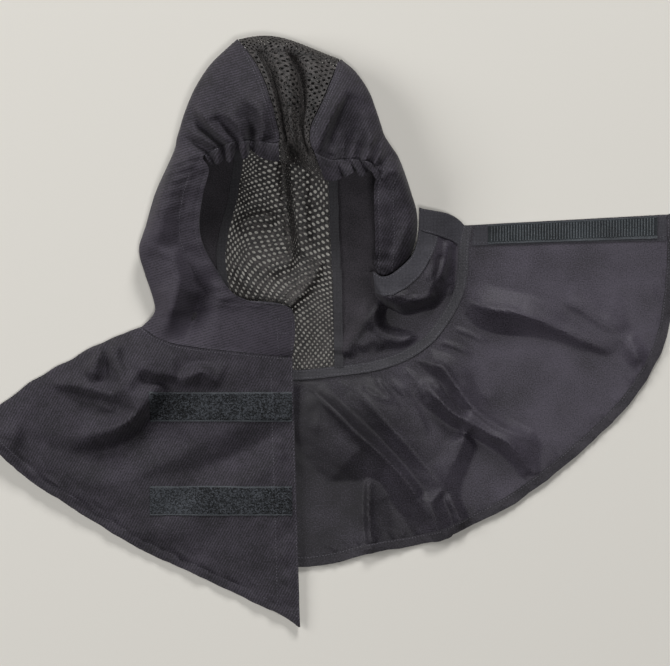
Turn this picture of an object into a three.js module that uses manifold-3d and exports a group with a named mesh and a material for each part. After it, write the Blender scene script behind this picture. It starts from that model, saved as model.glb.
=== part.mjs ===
// A twill welding hood with a shoulder cape, lying on its back with its face opening up.
// Millimetres, +Z up. +Y points to the crown, and +X to the front edge that is laid open.
// "Left" and "right" are as seen from above, with the crown at the top.
import * as THREE from "three";
import { mergeVertices } from "three/addons/utils/BufferGeometryUtils.js";
import Module from "manifold-3d";

const wasm = await Module();
wasm.setup();

// Walls of the cloth, and the air between neighbouring pieces
const TWILL = 1.4;
const NET = 1.2;
const TAPE = 1.1;
const FASTENER = 1.8;
const GAP = 0.5;
const SEAM_GAP = 1.2;

// Heights of the middle of a wall: twill flat on the ground, and a strip sewn on it
const FLOOR = TWILL / 2;
const SEWN_ON = TWILL / 2 + GAP + TAPE / 2;
const SEWN_ON_STRIP = SEWN_ON + TAPE / 2 + GAP + FASTENER / 2;
const STUCK_ON = TWILL / 2 + 2 * GAP + FASTENER / 2;

// Widths of the strips
const NECK_TAPE_WIDTH = 10;
const SEAM_TAPE_WIDTH = 9;
const HEM_WIDTH = 11;
const FACING_WIDTH = 20;

// Hook tape: its two ends, and its long edges as rows of the cape's table
const HOOK_FROM_X = 160;
const HOOK_TO_X = 329;
const HOOK_INNER_ROW = 20.05;
const HOOK_OUTER_ROW = 20.93;

// Lying hood: share of the edge's height at which the outer fold turns back, and the roll under it
const FOLD_LEVEL = 0.5;
const ROLL_PER_HEIGHT = 0.7;
const ROLL_LIMIT = 0.6;
const ROLL_SHARE = 0.35;

// Folds of the cloth: shares of their length over which they start and end, share of the cape beside its neck
// seam that stays flat, and shares of a hood rib where the folds of its upper side die out
const FOLD_START = [-0.15, 0.2];
const FOLD_END = [0.8, 1.15];
const SEAM_FLAT = 0.12;
const UPPER_SIDE_END = [0.3, 0.45];

// Gathers of the elastic brow: how many pleats a side, and how deep
const PLEATS = 5;
const PLEAT_DEPTH = 2.6;

// Rows of the tables where the parts of the hood and the cape meet
const FOLD_ROW = 7;
const NAPE_LEFT_ROW = 11;
const NAPE_RIGHT_ROW = 13;
const FACING_ROW = 20;
const BROW_ROW = 5;
const FACE_ROW = 8;
const LEFT_LAST_ROW = 17;
const RIGHT_LAST_ROW = 14;
const SHELF_ROW = 3;
const CHIN_ROW = 9;
const CASING_ROWS = 2.85;
const FACING_SPLIT = 0.05;

// Radial sections of the cape, from the closed front edge round the folded side and the back to the
// open one. A section with a bow curves toward the crown at its middle.
const CAPE = table("neck_x neck_y neck_z hem_x hem_y hem_z bow", [
  [-35.5, -25, 16, -28, -295, 4.4, 0], // closed front edge
  [-58, -23.5, 16.5, -51, -281.5, 4.4, 0], // inner edge of its facing
  [-93, -20, 17, -123, -247.5, 4, 0],
  [-128, -16.5, 17, -188, -217, 4.4, 0],
  [-154, -12, 16, -248, -181, 6, 3],
  [-172, -5, 14.5, -300, -147, 9.5, 6],
  [-181, 1, 12.5, -339, -111, 12.5, 9], // top of the side fold
  [-186, 5, 7, -349, -90, 7, 10],
  [-178, 1, FLOOR, -336, -96, FLOOR, 9], // foot of the side fold
  [-150, -13, FLOOR, -278, -138, FLOOR, 4],
  [-113, -27, FLOOR, -203, -183, FLOOR, 0],
  [-70, -37, FLOOR, -118, -218, FLOOR, 0], // left mesh seam
  [-31, -40, FLOOR, -31, -235, FLOOR, 0],
  [11, -36, FLOOR, 40, -223, FLOOR, 0], // right mesh seam
  [46, -31, FLOOR, 112, -209, FLOOR, 0],
  [75, -21, FLOOR, 180, -176, FLOOR, 0],
  [99, -5, FLOOR, 244, -128, FLOOR, 0],
  [117, 19, FLOOR, 300, -74, FLOOR, 0],
  [128, 41, FLOOR, 334, -20, FLOOR, 0],
  [132, 63, FLOOR, 347, 36, FLOOR, 0],
  [133, 86, FLOOR, 350, 92, FLOOR, 0], // inner edge of the facing
  [137, 106.5, FLOOR, 350, 118, FLOOR, 0], // open front edge
]);

// Ridges and valleys of the closed front, of the open side, and of the hood's left side
const FRONT_FOLDS = table("from_x from_y to_x to_y height width", [
  [-151, -47, -114, -40, 4, 13],
  [-163, -50, -243, -115, -5, 24],
  [-224, -10, -230, -50, 3, 14],
  [-281, -51, -204, -69, 3, 12],
]);
const OPEN_FOLDS = table("from_x from_y to_x to_y height width", [
  [146, 33, 284, -22, 9, 16],
  [227, 25, 285, -18, 5, 13],
  [101, -28, 233, -121, 8, 17],
  [99, -53, 201, -137, 6, 14],
  [-26, -52, 97, -188, 8, 16],
  [69, -108, 114, -165, 5, 14],
  [40, -152, 45, -219, 4, 13],
]);

const HOOD_FOLDS = table("from_x from_y to_x to_y height width", [
  [-128, 32, -144, -8, -5, 14],
  [-150, 150, -166, 110, 3, 14],
]);

// Ribs of the left side panel, crown to chin: its inner edge, the outer fold, and the seam at the back
const LEFT = table("edge_x edge_y edge_z fold_x fold_y back_x back_y", [
  [-81, 280, 40, -90, 291.5, -78, 270], // crown
  [-71, 265, 50, -115, 268, -81, 247],
  [-63, 248, 57, -130, 246, -84, 226],
  [-57, 230, 61, -138, 229, -86, 208],
  [-52, 210, 63, -143.5, 214, -87, 192],
  [-49, 189, 62, -147, 202, -89, 178], // brow, at the mesh
  [-70, 190, 61, -150, 192, -90, 168],
  [-96, 188, 58, -152, 182, -91, 159],
  [-123, 175, 54, -158, 168, -93, 148], // corner of brow and face edge
  [-118, 161, 50, -166, 151, -95, 134],
  [-124, 137, 44, -173, 134, -99, 119],
  [-128, 110, 38, -181, 106, -104, 100],
  [-125, 88, 33, -188, 82, -107, 77],
  [-114, 66, 29, -182, 58, -104, 47],
  [-99, 43, 26, -175, 37, -96, 17],
  [-80, 31, 24, -172, 22, -86, -8],
  [-35, 21, 20, -178, 12, -76, -28], // chin
  [-35.5, -25, 16, -186, 5, -70, -37], // neck seam
]);

// Ribs of the right side panel, crown to the turn of the face edge
const RIGHT = table("edge_x edge_y edge_z fold_x fold_y back_x back_y", [
  [10, 268, 36, 12.5, 271.5, 6, 252], // crown
  [6, 256, 46, 27, 259, 5, 234],
  [-1, 238, 55, 40, 240, 4, 218],
  [-9, 220, 60, 47, 222, 4, 204],
  [-17, 201, 61, 52, 207, 4, 190],
  [-15, 182, 60, 56, 195, 4, 178], // brow, at the mesh
  [2, 172, 58, 63, 184, 4, 166],
  [26, 172, 55, 69, 175, 5, 154],
  [50, 164, 50, 75, 161, 5, 141], // corner of brow and face edge
  [46, 146, 46, 82, 140, 6, 126],
  [46, 122, 41, 88, 119, 6, 110],
  [47, 98, 34, 88, 97, 7, 92],
  [47, 80, 27, 81, 75, 8, 76],
  [46, 69, 22, 69, 62, 8, 62],
  [50, 59, 18, 59, 55, 9, 52], // turn of the face edge
]);

// Ribs of the opened chin, from the right mesh seam to the front edge: face edge, row of the cape that
// each meets at the neck, and the shares of its length where it leaves its shelf and reaches the ground
const CHIN = table("edge_x edge_y edge_z neck shelf foot", [
  [9, 66, FLOOR, NAPE_RIGHT_ROW, 0, 0.2],
  [26, 62, FLOOR, 13.5, 0, 0.2],
  [41, 60, 4, 14, 0.02, 0.14],
  [46, 60, 20, 14.4, 0.12, 0.3],
  [53, 55.5, 23, 14.9, 0.24, 0.44],
  [62, 57, 24, 15.4, 0.36, 0.58],
  [74, 66, 24, 16.2, 0.46, 0.7],
  [84, 77, 23, 17, 0.55, 0.88],
  [89, 92, 21, 18.8, 0.4, 0.95],
  [90, 102, 19, FACING_ROW, 0.2, 0.95], // inner edge of the front facing
  [91, 124, 16, 21, 0.1, 0.95], // open front edge
]);

// Lower edges of the two brow casings, mesh to face edge
const LEFT_BROW = table("x y z", [
  [-49, 169, 56],
  [-72, 174, 54],
  [-97, 174, 52],
  [-113, 166, 50],
]);
const RIGHT_BROW = table("x y z", [
  [-14, 166, 55],
  [0, 153, 52],
  [24, 153, 49],
  [42, 154, 47],
]);

// Lengthwise folds of the mesh: place across it, stretch along it, depth (inward if negative), width
const NET_FOLDS = table("across from to depth width", [
  [0.3, -0.5, 1.2, -7, 0.12],
  [0.72, -0.5, 1.2, -6, 0.12],
  [0.36, 2.2, 2.95, -7, 0.1],
  [0.64, 2.25, 2.95, -8, 0.1],
]);
const NET_FOLD_FADE = 0.3;

// Bulge of the mesh round the crown, where along it that swells and fades, and its lean to the right
const NET_BULGE = 10;
const NET_SWELLS = [0.2, 1.2];
const NET_FADES = [1.5, 2.1];
const NET_LEAN = 0.5;

// Loop tapes on the closed front: outer end, front end, and the lower and upper long edges
const LOOPS = table("from_x to_x lower_y upper_y", [
  [-178, -36, -89, -60],
  [-178, -36, -183, -154],
]);

const CLOTH = { color: 0x3d3b40, roughness: 0.9, metalness: 0 };
const CLOTH_INSIDE = { color: 0x46434a, roughness: 0.92, metalness: 0 };
const NET_CLOTH = { color: 0x323031, roughness: 0.85, metalness: 0 };
const WOVEN_TAPE = { color: 0x424146, roughness: 0.88, metalness: 0 };
const LOOP_PILE = { color: 0x2c2d32, roughness: 0.95, metalness: 0 };
const HOOK_PLASTIC = { color: 0x3f4247, roughness: 0.6, metalness: 0 };

function table(columns, rows) {
  const names = columns.split(" ");
  return rows.map((row) => Object.fromEntries(names.map((name, i) => [name, row[i]])));
}

const { lerp, smoothstep } = THREE.MathUtils;
const vector = (x, y, z) => new THREE.Vector3(x, y, z);

// Uniform Catmull-Rom curve between b and c
function curve(a, b, c, d, t) {
  const slope = c - a;
  const bend = 2 * a - 5 * b + 4 * c - d;
  const twist = 3 * (b - c) + d - a;
  return b + 0.5 * t * (slope + t * (bend + t * twist));
}

// A row anywhere between the rows of a table, on a smooth curve through them
function rowAt(rows, at) {
  const last = rows.length - 1;
  const start = Math.min(Math.max(Math.floor(at), 0), last - 1);
  const near = (step) => rows[Math.min(Math.max(start + step, 0), last)];
  const blend = (name) => curve(near(-1)[name], near(0)[name], near(1)[name], near(2)[name], at - start);
  return Object.fromEntries(Object.keys(rows[0]).map((name) => [name, blend(name)]));
}

// Height of the folds of one layer over a point of the plan
function foldHeight(folds, x, y) {
  let height = 0;
  for (const fold of folds) {
    const run = new THREE.Vector2(fold.to_x - fold.from_x, fold.to_y - fold.from_y);
    const offset = new THREE.Vector2(x - fold.from_x, y - fold.from_y);
    const along = offset.dot(run) / run.lengthSq();
    const aside = offset.cross(run) / run.length();
    const ends = smoothstep(along, ...FOLD_START) * (1 - smoothstep(along, ...FOLD_END));
    height += fold.height * ends * Math.exp(-((aside / fold.width) ** 2));
  }
  return height;
}

// The cape: a row of its table, and millimetres outward from the neck seam
const capeLength = (row) => {
  const { neck_x, neck_y, neck_z, hem_x, hem_y, hem_z } = rowAt(CAPE, row);
  return vector(hem_x - neck_x, hem_y - neck_y, hem_z - neck_z).length();
};

function capePoint(row, reach) {
  const { neck_x, neck_y, neck_z, hem_x, hem_y, hem_z, bow } = rowAt(CAPE, row);
  const share = reach / capeLength(row);
  const point = vector(neck_x, neck_y, neck_z).lerp(vector(hem_x, hem_y, hem_z), share);
  point.y += 4 * bow * share * (1 - share);
  const onFront = 1 - smoothstep(row, FOLD_ROW - 2, FOLD_ROW - 1);
  const onGround = smoothstep(row, FOLD_ROW + 3, FOLD_ROW + 4);
  const offSeam = smoothstep(share, 0, SEAM_FLAT);
  point.z += onFront * offSeam * foldHeight(FRONT_FOLDS, point.x, point.y);
  point.z += onGround * offSeam * foldHeight(OPEN_FOLDS, point.x, point.y);
  point.z = Math.max(point.z, FLOOR);
  return point;
}

// The hood's side of the neck seam
const neckSeam = (row) => capePoint(row, -SEAM_GAP);

// The point of the closed front that lies over a point of the plan, found by Newton steps
function frontPoint(x, y) {
  let row = 2;
  let reach = 100;
  const STEP = 0.01;
  for (let i = 0; i < 12; i += 1) {
    const here = capePoint(row, reach);
    const byRow = capePoint(row + STEP, reach).sub(here).divideScalar(STEP);
    const byReach = capePoint(row, reach + STEP).sub(here).divideScalar(STEP);
    const miss = vector(x - here.x, y - here.y, 0);
    const area = byRow.x * byReach.y - byRow.y * byReach.x;
    row += (miss.x * byReach.y - miss.y * byReach.x) / area;
    reach += (byRow.x * miss.y - byRow.y * miss.x) / area;
    row = Math.min(Math.max(row, 0.01), FOLD_ROW - 1.5);
  }
  return capePoint(row, reach);
}

// One rib of a side panel: from the inner edge (0) over the outer fold (0.5) to the back seam (1)
function ribPoint(rib, share) {
  const edge = vector(rib.edge_x, rib.edge_y, rib.edge_z);
  const fold = vector(rib.fold_x, rib.fold_y, lerp(FLOOR, rib.edge_z, FOLD_LEVEL));
  if (share <= 0.5) {
    const turn = (Math.PI / 2) * (1 - 2 * share);
    const inward = 1 - Math.cos(turn);
    return vector(
      lerp(fold.x, edge.x, inward),
      lerp(fold.y, edge.y, inward),
      lerp(fold.z, edge.z, Math.sin(turn)),
    );
  }
  const inward = vector(rib.back_x - fold.x, rib.back_y - fold.y, 0);
  const span = inward.length();
  const roll = Math.min(ROLL_PER_HEIGHT * fold.z, ROLL_LIMIT * span);
  const underneath = 2 * share - 1;
  const turn = (Math.PI / 2) * Math.min(underneath / ROLL_SHARE, 1);
  const flat = Math.max(underneath - ROLL_SHARE, 0) / (1 - ROLL_SHARE);
  const run = roll * (1 - Math.cos(turn)) + (span - roll) * flat;
  const point = vector(fold.x, fold.y, 0).addScaledVector(inward.normalize(), run);
  point.z = lerp(fold.z, FLOOR, Math.sin(turn));
  return point;
}

// Share of a rib that lies a given distance from its inner edge
function shareAt(ribs, row, distance) {
  const rib = rowAt(ribs, row);
  const width = Math.hypot(rib.edge_x - rib.fold_x, rib.edge_y - rib.fold_y);
  return Math.asin(Math.min(distance / width, 1)) / Math.PI;
}

const leftNeckRow = (share) =>
  share <= 0.5 ? 2 * share * FOLD_ROW : lerp(FOLD_ROW, NAPE_LEFT_ROW, 2 * share - 1);

function leftPoint(row, share) {
  const point = ribPoint(rowAt(LEFT, row), share);
  const onTop = 1 - smoothstep(share, ...UPPER_SIDE_END);
  point.z += onTop * foldHeight(HOOD_FOLDS, point.x, point.y);
  const toNeck = Math.max(row - LEFT_LAST_ROW + 1, 0);
  return point.lerp(neckSeam(leftNeckRow(share)), toNeck);
}

const rightPoint = (row, share) => ribPoint(rowAt(RIGHT, row), share);

// The opened chin: a row of its table, and the share of the way from the face edge to the neck seam
function chinPoint(row, share) {
  const rib = rowAt(CHIN, row);
  const seam = neckSeam(rib.neck);
  const drop = smoothstep(share, rib.shelf, rib.foot);
  const point = vector(rib.edge_x, rib.edge_y, 0).lerp(seam, share);
  point.z = Math.max(lerp(rib.edge_z, FLOOR, drop), FLOOR);
  return point;
}

function chinLength(row) {
  const rib = rowAt(CHIN, row);
  const seam = neckSeam(rib.neck);
  return Math.hypot(seam.x - rib.edge_x, seam.y - rib.edge_y);
}

// The seams that hold the mesh: brow (-0.5 to 0), forehead to crown (to 1), round the crown (to 2) and
// down the back (to 3). The right one turns to the chin on the way, and tapes cover both on the inside.
const RIGHT_SEAM_TURN = 2.62;
const TAPE_FROM = 2.25;
const TAPE_TO = 2.97;
const NAPE_FROM = 2.7;

function leftSeam(along) {
  if (along < 0) {
    const { x, y, z } = LEFT_BROW[0];
    return leftPoint(BROW_ROW, 0).lerp(vector(x, y, z), -2 * along);
  }
  if (along <= 1) {
    return leftPoint(BROW_ROW * (1 - along), 0);
  }
  if (along <= 2) {
    return leftPoint(0, along - 1);
  }
  return leftPoint((along - 2) * LEFT_LAST_ROW, 1);
}

function rightSeam(along) {
  if (along < 0) {
    const { x, y, z } = RIGHT_BROW[0];
    return rightPoint(BROW_ROW, 0).lerp(vector(x, y, z), -2 * along);
  }
  if (along <= 1) {
    return rightPoint(BROW_ROW * (1 - along), 0);
  }
  if (along <= 2) {
    return rightPoint(0, along - 1);
  }
  if (along <= RIGHT_SEAM_TURN) {
    return rightPoint(((along - 2) / (RIGHT_SEAM_TURN - 2)) * (RIGHT_LAST_ROW - 1), 1);
  }
  return chinPoint(0, (along - RIGHT_SEAM_TURN) / (3 - RIGHT_SEAM_TURN));
}

// The mesh between its seams: it bulges outward round the crown and is folded lengthwise
function netPoint(along, across) {
  const STEP = 0.01;
  const middle = (at) => leftSeam(at).lerp(rightSeam(at), 0.5);
  const left = leftSeam(along);
  const right = rightSeam(along);
  const width = right.distanceTo(left);
  const inset = (SEAM_GAP + TWILL / 2) / width;
  const point = left.clone().lerp(right, lerp(inset, 1 - inset, across));
  const forward = middle(along + STEP).sub(middle(along - STEP));
  const outward = right.sub(left).cross(forward).normalize();
  const round = Math.sin(Math.PI * (across + NET_LEAN * across * (1 - across)));
  let lift = NET_BULGE * round * smoothstep(along, ...NET_SWELLS) * (1 - smoothstep(along, ...NET_FADES));
  for (const { across: line, from, to, depth, width: spread } of NET_FOLDS) {
    const begun = smoothstep(along, from, from + NET_FOLD_FADE);
    const ended = smoothstep(along, to - NET_FOLD_FADE, to);
    lift += depth * begun * (1 - ended) * round * Math.exp(-(((across - line) / spread) ** 2));
  }
  point.addScaledVector(outward, lift);
  const nape = neckSeam(lerp(NAPE_LEFT_ROW, NAPE_RIGHT_ROW, lerp(inset, 1 - inset, across)));
  point.lerp(nape, smoothstep(along, NAPE_FROM, 3));
  point.z = Math.max(point.z, FLOOR);
  return point;
}

// A brow casing between its stitched edge on the side panel and its ruffled lower edge
function casingPoint(panelPoint, brow, row, share) {
  const upper = panelPoint(BROW_ROW + row, 0);
  const { x, y, z } = rowAt(brow, row);
  const lower = vector(x, y, z);
  const start = (GAP + TWILL) / upper.distanceTo(lower);
  const point = upper.lerp(lower, lerp(start, 1, share));
  const along = row / (FACE_ROW - BROW_ROW);
  point.z += PLEAT_DEPTH * share * Math.sin(Math.PI * along) * Math.cos(2 * Math.PI * PLEATS * along);
  return point;
}

// Even steps between two numbers, and several such runs one after another
const steps = (from, to, count) => Array.from({ length: count + 1 }, (_, i) => lerp(from, to, i / count));
const runs = (...parts) => [...new Set(parts.flatMap(([from, to, count]) => steps(from, to, count)))];

// A closed wall about a surface. Each value of vs is a number, or a function of u.
function wall(surface, us, vs, thickness, lift = 0) {
  const STEP = 1e-3;
  const nu = us.length;
  const nv = vs.length;
  const top = [];
  const bottom = [];
  for (const u of us) {
    for (const line of vs) {
      const v = typeof line === "function" ? line(u) : line;
      const byU = surface(u + STEP, v).sub(surface(u - STEP, v));
      const byV = surface(u, v + STEP).sub(surface(u, v - STEP));
      const normal = byU.cross(byV).normalize();
      const point = surface(u, v);
      for (const [side, shift] of [[top, thickness / 2], [bottom, -thickness / 2]]) {
        const corner = point.clone().addScaledVector(normal, lift + shift);
        side.push(corner.x, corner.y, Math.max(corner.z, 0));
      }
    }
  }
  const below = nu * nv;
  const at = (i, j) => i * nv + j;
  const index = [];
  const quad = (a, b, c, d) => index.push(a, b, c, a, c, d);
  for (let i = 0; i + 1 < nu; i += 1) {
    for (let j = 0; j + 1 < nv; j += 1) {
      quad(at(i, j), at(i + 1, j), at(i + 1, j + 1), at(i, j + 1));
      quad(below + at(i, j), below + at(i, j + 1), below + at(i + 1, j + 1), below + at(i + 1, j));
    }
    quad(at(i, 0), below + at(i, 0), below + at(i + 1, 0), at(i + 1, 0));
    quad(at(i + 1, nv - 1), below + at(i + 1, nv - 1), below + at(i, nv - 1), at(i, nv - 1));
  }
  for (let j = 0; j + 1 < nv; j += 1) {
    quad(at(0, j + 1), below + at(0, j + 1), below + at(0, j), at(0, j));
    quad(at(nu - 1, j), below + at(nu - 1, j), below + at(nu - 1, j + 1), at(nu - 1, j + 1));
  }
  const geometry = new THREE.BufferGeometry();
  geometry.setAttribute("position", new THREE.Float32BufferAttribute([...top, ...bottom], 3));
  geometry.setIndex(index);
  return geometry;
}

function solid(geometry) {
  const merged = mergeVertices(geometry);
  return new wasm.Manifold(new wasm.Mesh({
    numProp: 3,
    vertProperties: merged.attributes.position.array,
    triVerts: new Uint32Array(merged.index.array),
  }));
}

function joined(first, second) {
  const mesh = solid(first).add(solid(second)).getMesh();
  const geometry = new THREE.BufferGeometry();
  geometry.setAttribute("position", new THREE.BufferAttribute(new Float32Array(mesh.vertProperties), 3));
  geometry.setIndex(new THREE.BufferAttribute(new Uint32Array(mesh.triVerts), 1));
  return geometry;
}

const cape = new THREE.Group();

function piece(name, geometry, finish) {
  const mesh = new THREE.Mesh(geometry, new THREE.MeshStandardMaterial(finish));
  mesh.name = name;
  mesh.geometry.computeVertexNormals();
  cape.add(mesh);
}

// Columns of the cape: finer where the hem is long, coarser in the side fold
const capeRows = runs([0, 1, 2], [1, 5, 12], [5, 8, 6], [8, 19, 39], [19, 20, 3], [20, 21, 2]);
const capeLines = steps(0, 1, 10).map((share) => (row) =>
  lerp(NECK_TAPE_WIDTH, capeLength(row) - HEM_WIDTH, share));
const hemStart = capeLines.at(-1);
const lastRow = CAPE.length - 1;
const within = (rows, from, to) => rows.filter((row) => row >= from && row <= to);

piece("cape", wall(capePoint, capeRows, [0, ...capeLines, capeLength], TWILL), CLOTH);
piece("neck_tape", wall(capePoint, capeRows, [0, NECK_TAPE_WIDTH], TAPE, -SEWN_ON), WOVEN_TAPE);
const hemLines = [(row) => hemStart(row) + GAP, capeLength];
piece("hem_fold", wall(capePoint, capeRows, hemLines, TAPE, -SEWN_ON), CLOTH_INSIDE);

const facingLines = [NECK_TAPE_WIDTH + GAP, ...capeLines.slice(1, -1), (row) => hemStart(row) - GAP];
for (const [side, from, to] of [["left", 0, 1], ["right", FACING_ROW, lastRow]]) {
  const facing = wall(capePoint, within(capeRows, from, to), facingLines, TAPE, -SEWN_ON);
  piece(`front_facing_${side}`, facing, CLOTH_INSIDE);
}
const hookLines = steps(HOOK_FROM_X, HOOK_TO_X, 8).map((x) => (row) => {
  const { neck_x, hem_x } = rowAt(CAPE, row);
  return ((x - neck_x) / (hem_x - neck_x)) * capeLength(row);
});
const hook = wall(capePoint, [HOOK_INNER_ROW, HOOK_OUTER_ROW], hookLines, FASTENER, -SEWN_ON_STRIP);
piece("hook_strip", hook, HOOK_PLASTIC);

for (const [i, { from_x, to_x, lower_y, upper_y }] of LOOPS.entries()) {
  const strip = wall(frontPoint, steps(from_x, to_x, 14), steps(lower_y, upper_y, 2), FASTENER, STUCK_ON);
  piece(["loop_strip_upper", "loop_strip_lower"][i], strip, LOOP_PILE);
}

// Side panels of the hood
const panelRows = (last) =>
  runs([0, BROW_ROW, 10], [BROW_ROW, FACE_ROW, 9], [FACE_ROW, last, 2 * (last - FACE_ROW)]);
const panelLines = (ribs) => [
  0,
  (row) => shareAt(ribs, row, FACING_WIDTH) / 2,
  (row) => shareAt(ribs, row, FACING_WIDTH),
  (row) => lerp(shareAt(ribs, row, FACING_WIDTH), 0.5, 0.4),
  (row) => lerp(shareAt(ribs, row, FACING_WIDTH), 0.5, 0.75),
  ...steps(0.5, 0.5 + ROLL_SHARE / 2, 3),
  ...steps(0.5 + ROLL_SHARE / 2, 1, 4).slice(1),
];
const leftRows = panelRows(LEFT_LAST_ROW);
piece("hood_panel_left", wall(leftPoint, leftRows, panelLines(LEFT), TWILL), CLOTH);
const besideFace = within(leftRows, FACE_ROW + 0.5, LEFT_LAST_ROW - 0.5);
const leftFacing = wall(leftPoint, besideFace, panelLines(LEFT).slice(0, 3), TAPE, SEWN_ON);
piece("face_facing_left", leftFacing, CLOTH_INSIDE);

const rightWall = wall(rightPoint, panelRows(RIGHT_LAST_ROW), panelLines(RIGHT), TWILL);
const lastChinRow = CHIN.length - 1;
const chinRows = runs([0, 2, 4], [2, CHIN_ROW, 16], [CHIN_ROW, lastChinRow, 2]);
const chinFacing = (row) => FACING_WIDTH / chinLength(row);
const chinLines = [
  0,
  (row) => chinFacing(row) / 2,
  chinFacing,
  ...steps(0, 1, 7).slice(1).map((share) => (row) => lerp(chinFacing(row), 1, share)),
];
piece("hood_panel_right", joined(rightWall, wall(chinPoint, chinRows, chinLines, TWILL)), CLOTH);

const faceRows = within(chinRows, SHELF_ROW, CHIN_ROW);
const besideChin = [...faceRows.slice(0, -1), CHIN_ROW - FACING_SPLIT];
const rightFacing = wall(chinPoint, besideChin, chinLines.slice(0, 3), TAPE, -SEWN_ON);
piece("face_facing_right", rightFacing, CLOTH_INSIDE);
const frontRows = within(chinRows, CHIN_ROW, lastChinRow);
piece("chin_facing_right", wall(chinPoint, frontRows, chinLines, TAPE, -SEWN_ON), CLOTH_INSIDE);

// Mesh, the tapes inside its seams, and the gathered casings at its brow
const netRows = runs([-0.5, 0, 1], [0, 1, 6], [1, 2, 8], [2, 3, 11]);
piece("mesh_panel", wall(netPoint, netRows, steps(0, 1, 8), NET), NET_CLOTH);
const hoodSides = [
  ["left", leftSeam, leftPoint, LEFT_BROW],
  ["right", rightSeam, rightPoint, RIGHT_BROW],
];
for (const [side, seam, panelPoint, brow] of hoodSides) {
  const tapePoint = (along, aside) => seam(along).add(vector(aside, 0, SEWN_ON));
  const tapeEdges = [-SEAM_TAPE_WIDTH / 2, SEAM_TAPE_WIDTH / 2];
  piece(`seam_tape_${side}`, wall(tapePoint, steps(TAPE_FROM, TAPE_TO, 12), tapeEdges, TAPE), WOVEN_TAPE);
  const surface = (row, share) => casingPoint(panelPoint, brow, row, share);
  piece(`brow_casing_${side}`, wall(surface, steps(0, CASING_ROWS, 20), steps(0, 1, 2), TWILL), CLOTH);
}

const middle = new THREE.Box3().setFromObject(cape).getCenter(vector(0, 0, 0));
cape.position.set(-middle.x, -middle.y, 0);
export default cape;
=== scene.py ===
"""A dark twill welding hood with a shoulder cape, laid on a pale floor with its face opening up.

Sizes are millimetres in the plan that the cutter would draw: X runs across the cape toward the front
edge that is laid open, Y toward the crown and Z up. "Left" and "right" are as seen from above.
"""
from __future__ import annotations

import logging
import math
from dataclasses import dataclass, field, replace
from enum import Enum
from typing import Callable, Sequence

import bpy
import numpy as np
from mathutils import Matrix, Vector
from mathutils.geometry import delaunay_2d_cdt

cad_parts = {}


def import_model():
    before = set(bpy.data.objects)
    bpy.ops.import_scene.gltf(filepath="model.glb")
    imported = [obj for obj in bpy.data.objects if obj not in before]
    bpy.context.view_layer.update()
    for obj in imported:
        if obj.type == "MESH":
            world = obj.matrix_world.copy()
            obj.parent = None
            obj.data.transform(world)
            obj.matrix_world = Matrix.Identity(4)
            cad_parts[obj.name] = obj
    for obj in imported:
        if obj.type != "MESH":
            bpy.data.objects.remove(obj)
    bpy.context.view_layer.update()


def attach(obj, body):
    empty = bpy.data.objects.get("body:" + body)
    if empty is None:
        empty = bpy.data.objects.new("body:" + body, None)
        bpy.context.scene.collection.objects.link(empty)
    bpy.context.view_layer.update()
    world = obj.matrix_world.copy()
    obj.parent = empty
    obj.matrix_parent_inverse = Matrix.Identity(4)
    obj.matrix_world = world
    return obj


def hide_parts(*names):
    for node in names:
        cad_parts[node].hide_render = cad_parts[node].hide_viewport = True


log = logging.getLogger("welding_cape")

Array = np.ndarray
Places = Callable[[Array], Array]
Surface = Callable[[Array, Array], Array]
Piece = bpy.types.Object
Tree = bpy.types.NodeTree
Socket = bpy.types.NodeSocket

MM = 0.001
# The plan's middle is a little off the middle of the lying garment
PLAN_SHIFT = np.array([-0.4209, -0.2713, 0.0])

# Walls of the cloth and heights of the strips sewn on it
TWILL = 1.1
NET = 0.6
TAPE = 0.9
FASTENER = 0.9
SEAM_GAP = 0.6
FLOOR = 0.7
SEWN_ON = 1.35
STRIP_ON_FACING = 2.4
STRIP_ON_FRONT = 1.2

# Widths of the strips
NECK_TAPE_WIDTH = 10.0
NECK_TAPE_OVER = 2.2
SEAM_TAPE_WIDTH = 9.0
HEM_WIDTH = 11.0
FACING_WIDTH = 20.0

# Rows of the tables where parts of the hood and the cape meet
FOLD_ROW = 7
NAPE_LEFT_ROW = 11
NAPE_RIGHT_ROW = 13
FACING_ROW = 20
CAPE_LAST_ROW = 21
BROW_ROW = 5
FACE_ROW = 8
LEFT_LAST_ROW = 17
RIGHT_LAST_ROW = 14
SHELF_ROW = 3
CHIN_ROW = 9
CHIN_LAST_ROW = 10

STITCH_PITCH = 3.0
# Heights at which thread lies on the cloth, on a tape and on a strip sewn inside
ON_TWILL = TWILL / 2 + 0.1
ON_TAPE = TAPE / 2 + 0.1
ON_STRIP = SEWN_ON + ON_TAPE
# Gap between a facing and the tapes at its ends
END_GAP = 0.6
# Rows and millimetres over which the cape's slope is taken
CAPE_STEP = 1e-2


class Hold(Enum):
    """Ways in which a sheet of cloth is held."""

    FOLDED = "folded"
    GATHERED = "gathered"


class Side(Enum):
    """The hood's two sides."""

    LEFT = "left"
    RIGHT = "right"


class Axis(Enum):
    """Axes of a flat map."""

    ACROSS = "X"
    ALONG = "Y"


class Slot(Enum):
    """Material slots of the part."""

    TWILL = "twill"
    INSIDE = "twill_inside"
    NET = "net"
    TAPE = "tape"
    LOOP = "loop"
    HOOK = "hook"


def smoothstep(value: Array, low: float | Array, high: float | Array) -> Array:
    """Smooth ramp from 0 at low to 1 at high."""
    share = np.clip((value - low) / (high - low), 0.0, 1.0)
    return share * share * (3.0 - 2.0 * share)


def window(value: Array, low: float, full: float, fade: float, high: float) -> Array:
    """Smooth rise from 0 at low to 1 at full, and fall from 1 at fade to 0 at high."""
    return smoothstep(value, low, full) * (1 - smoothstep(value, fade, high))


def lerp(a: Array, b: Array, share: Array) -> Array:
    """Straight blend of two values."""
    return a + (b - a) * share


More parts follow.
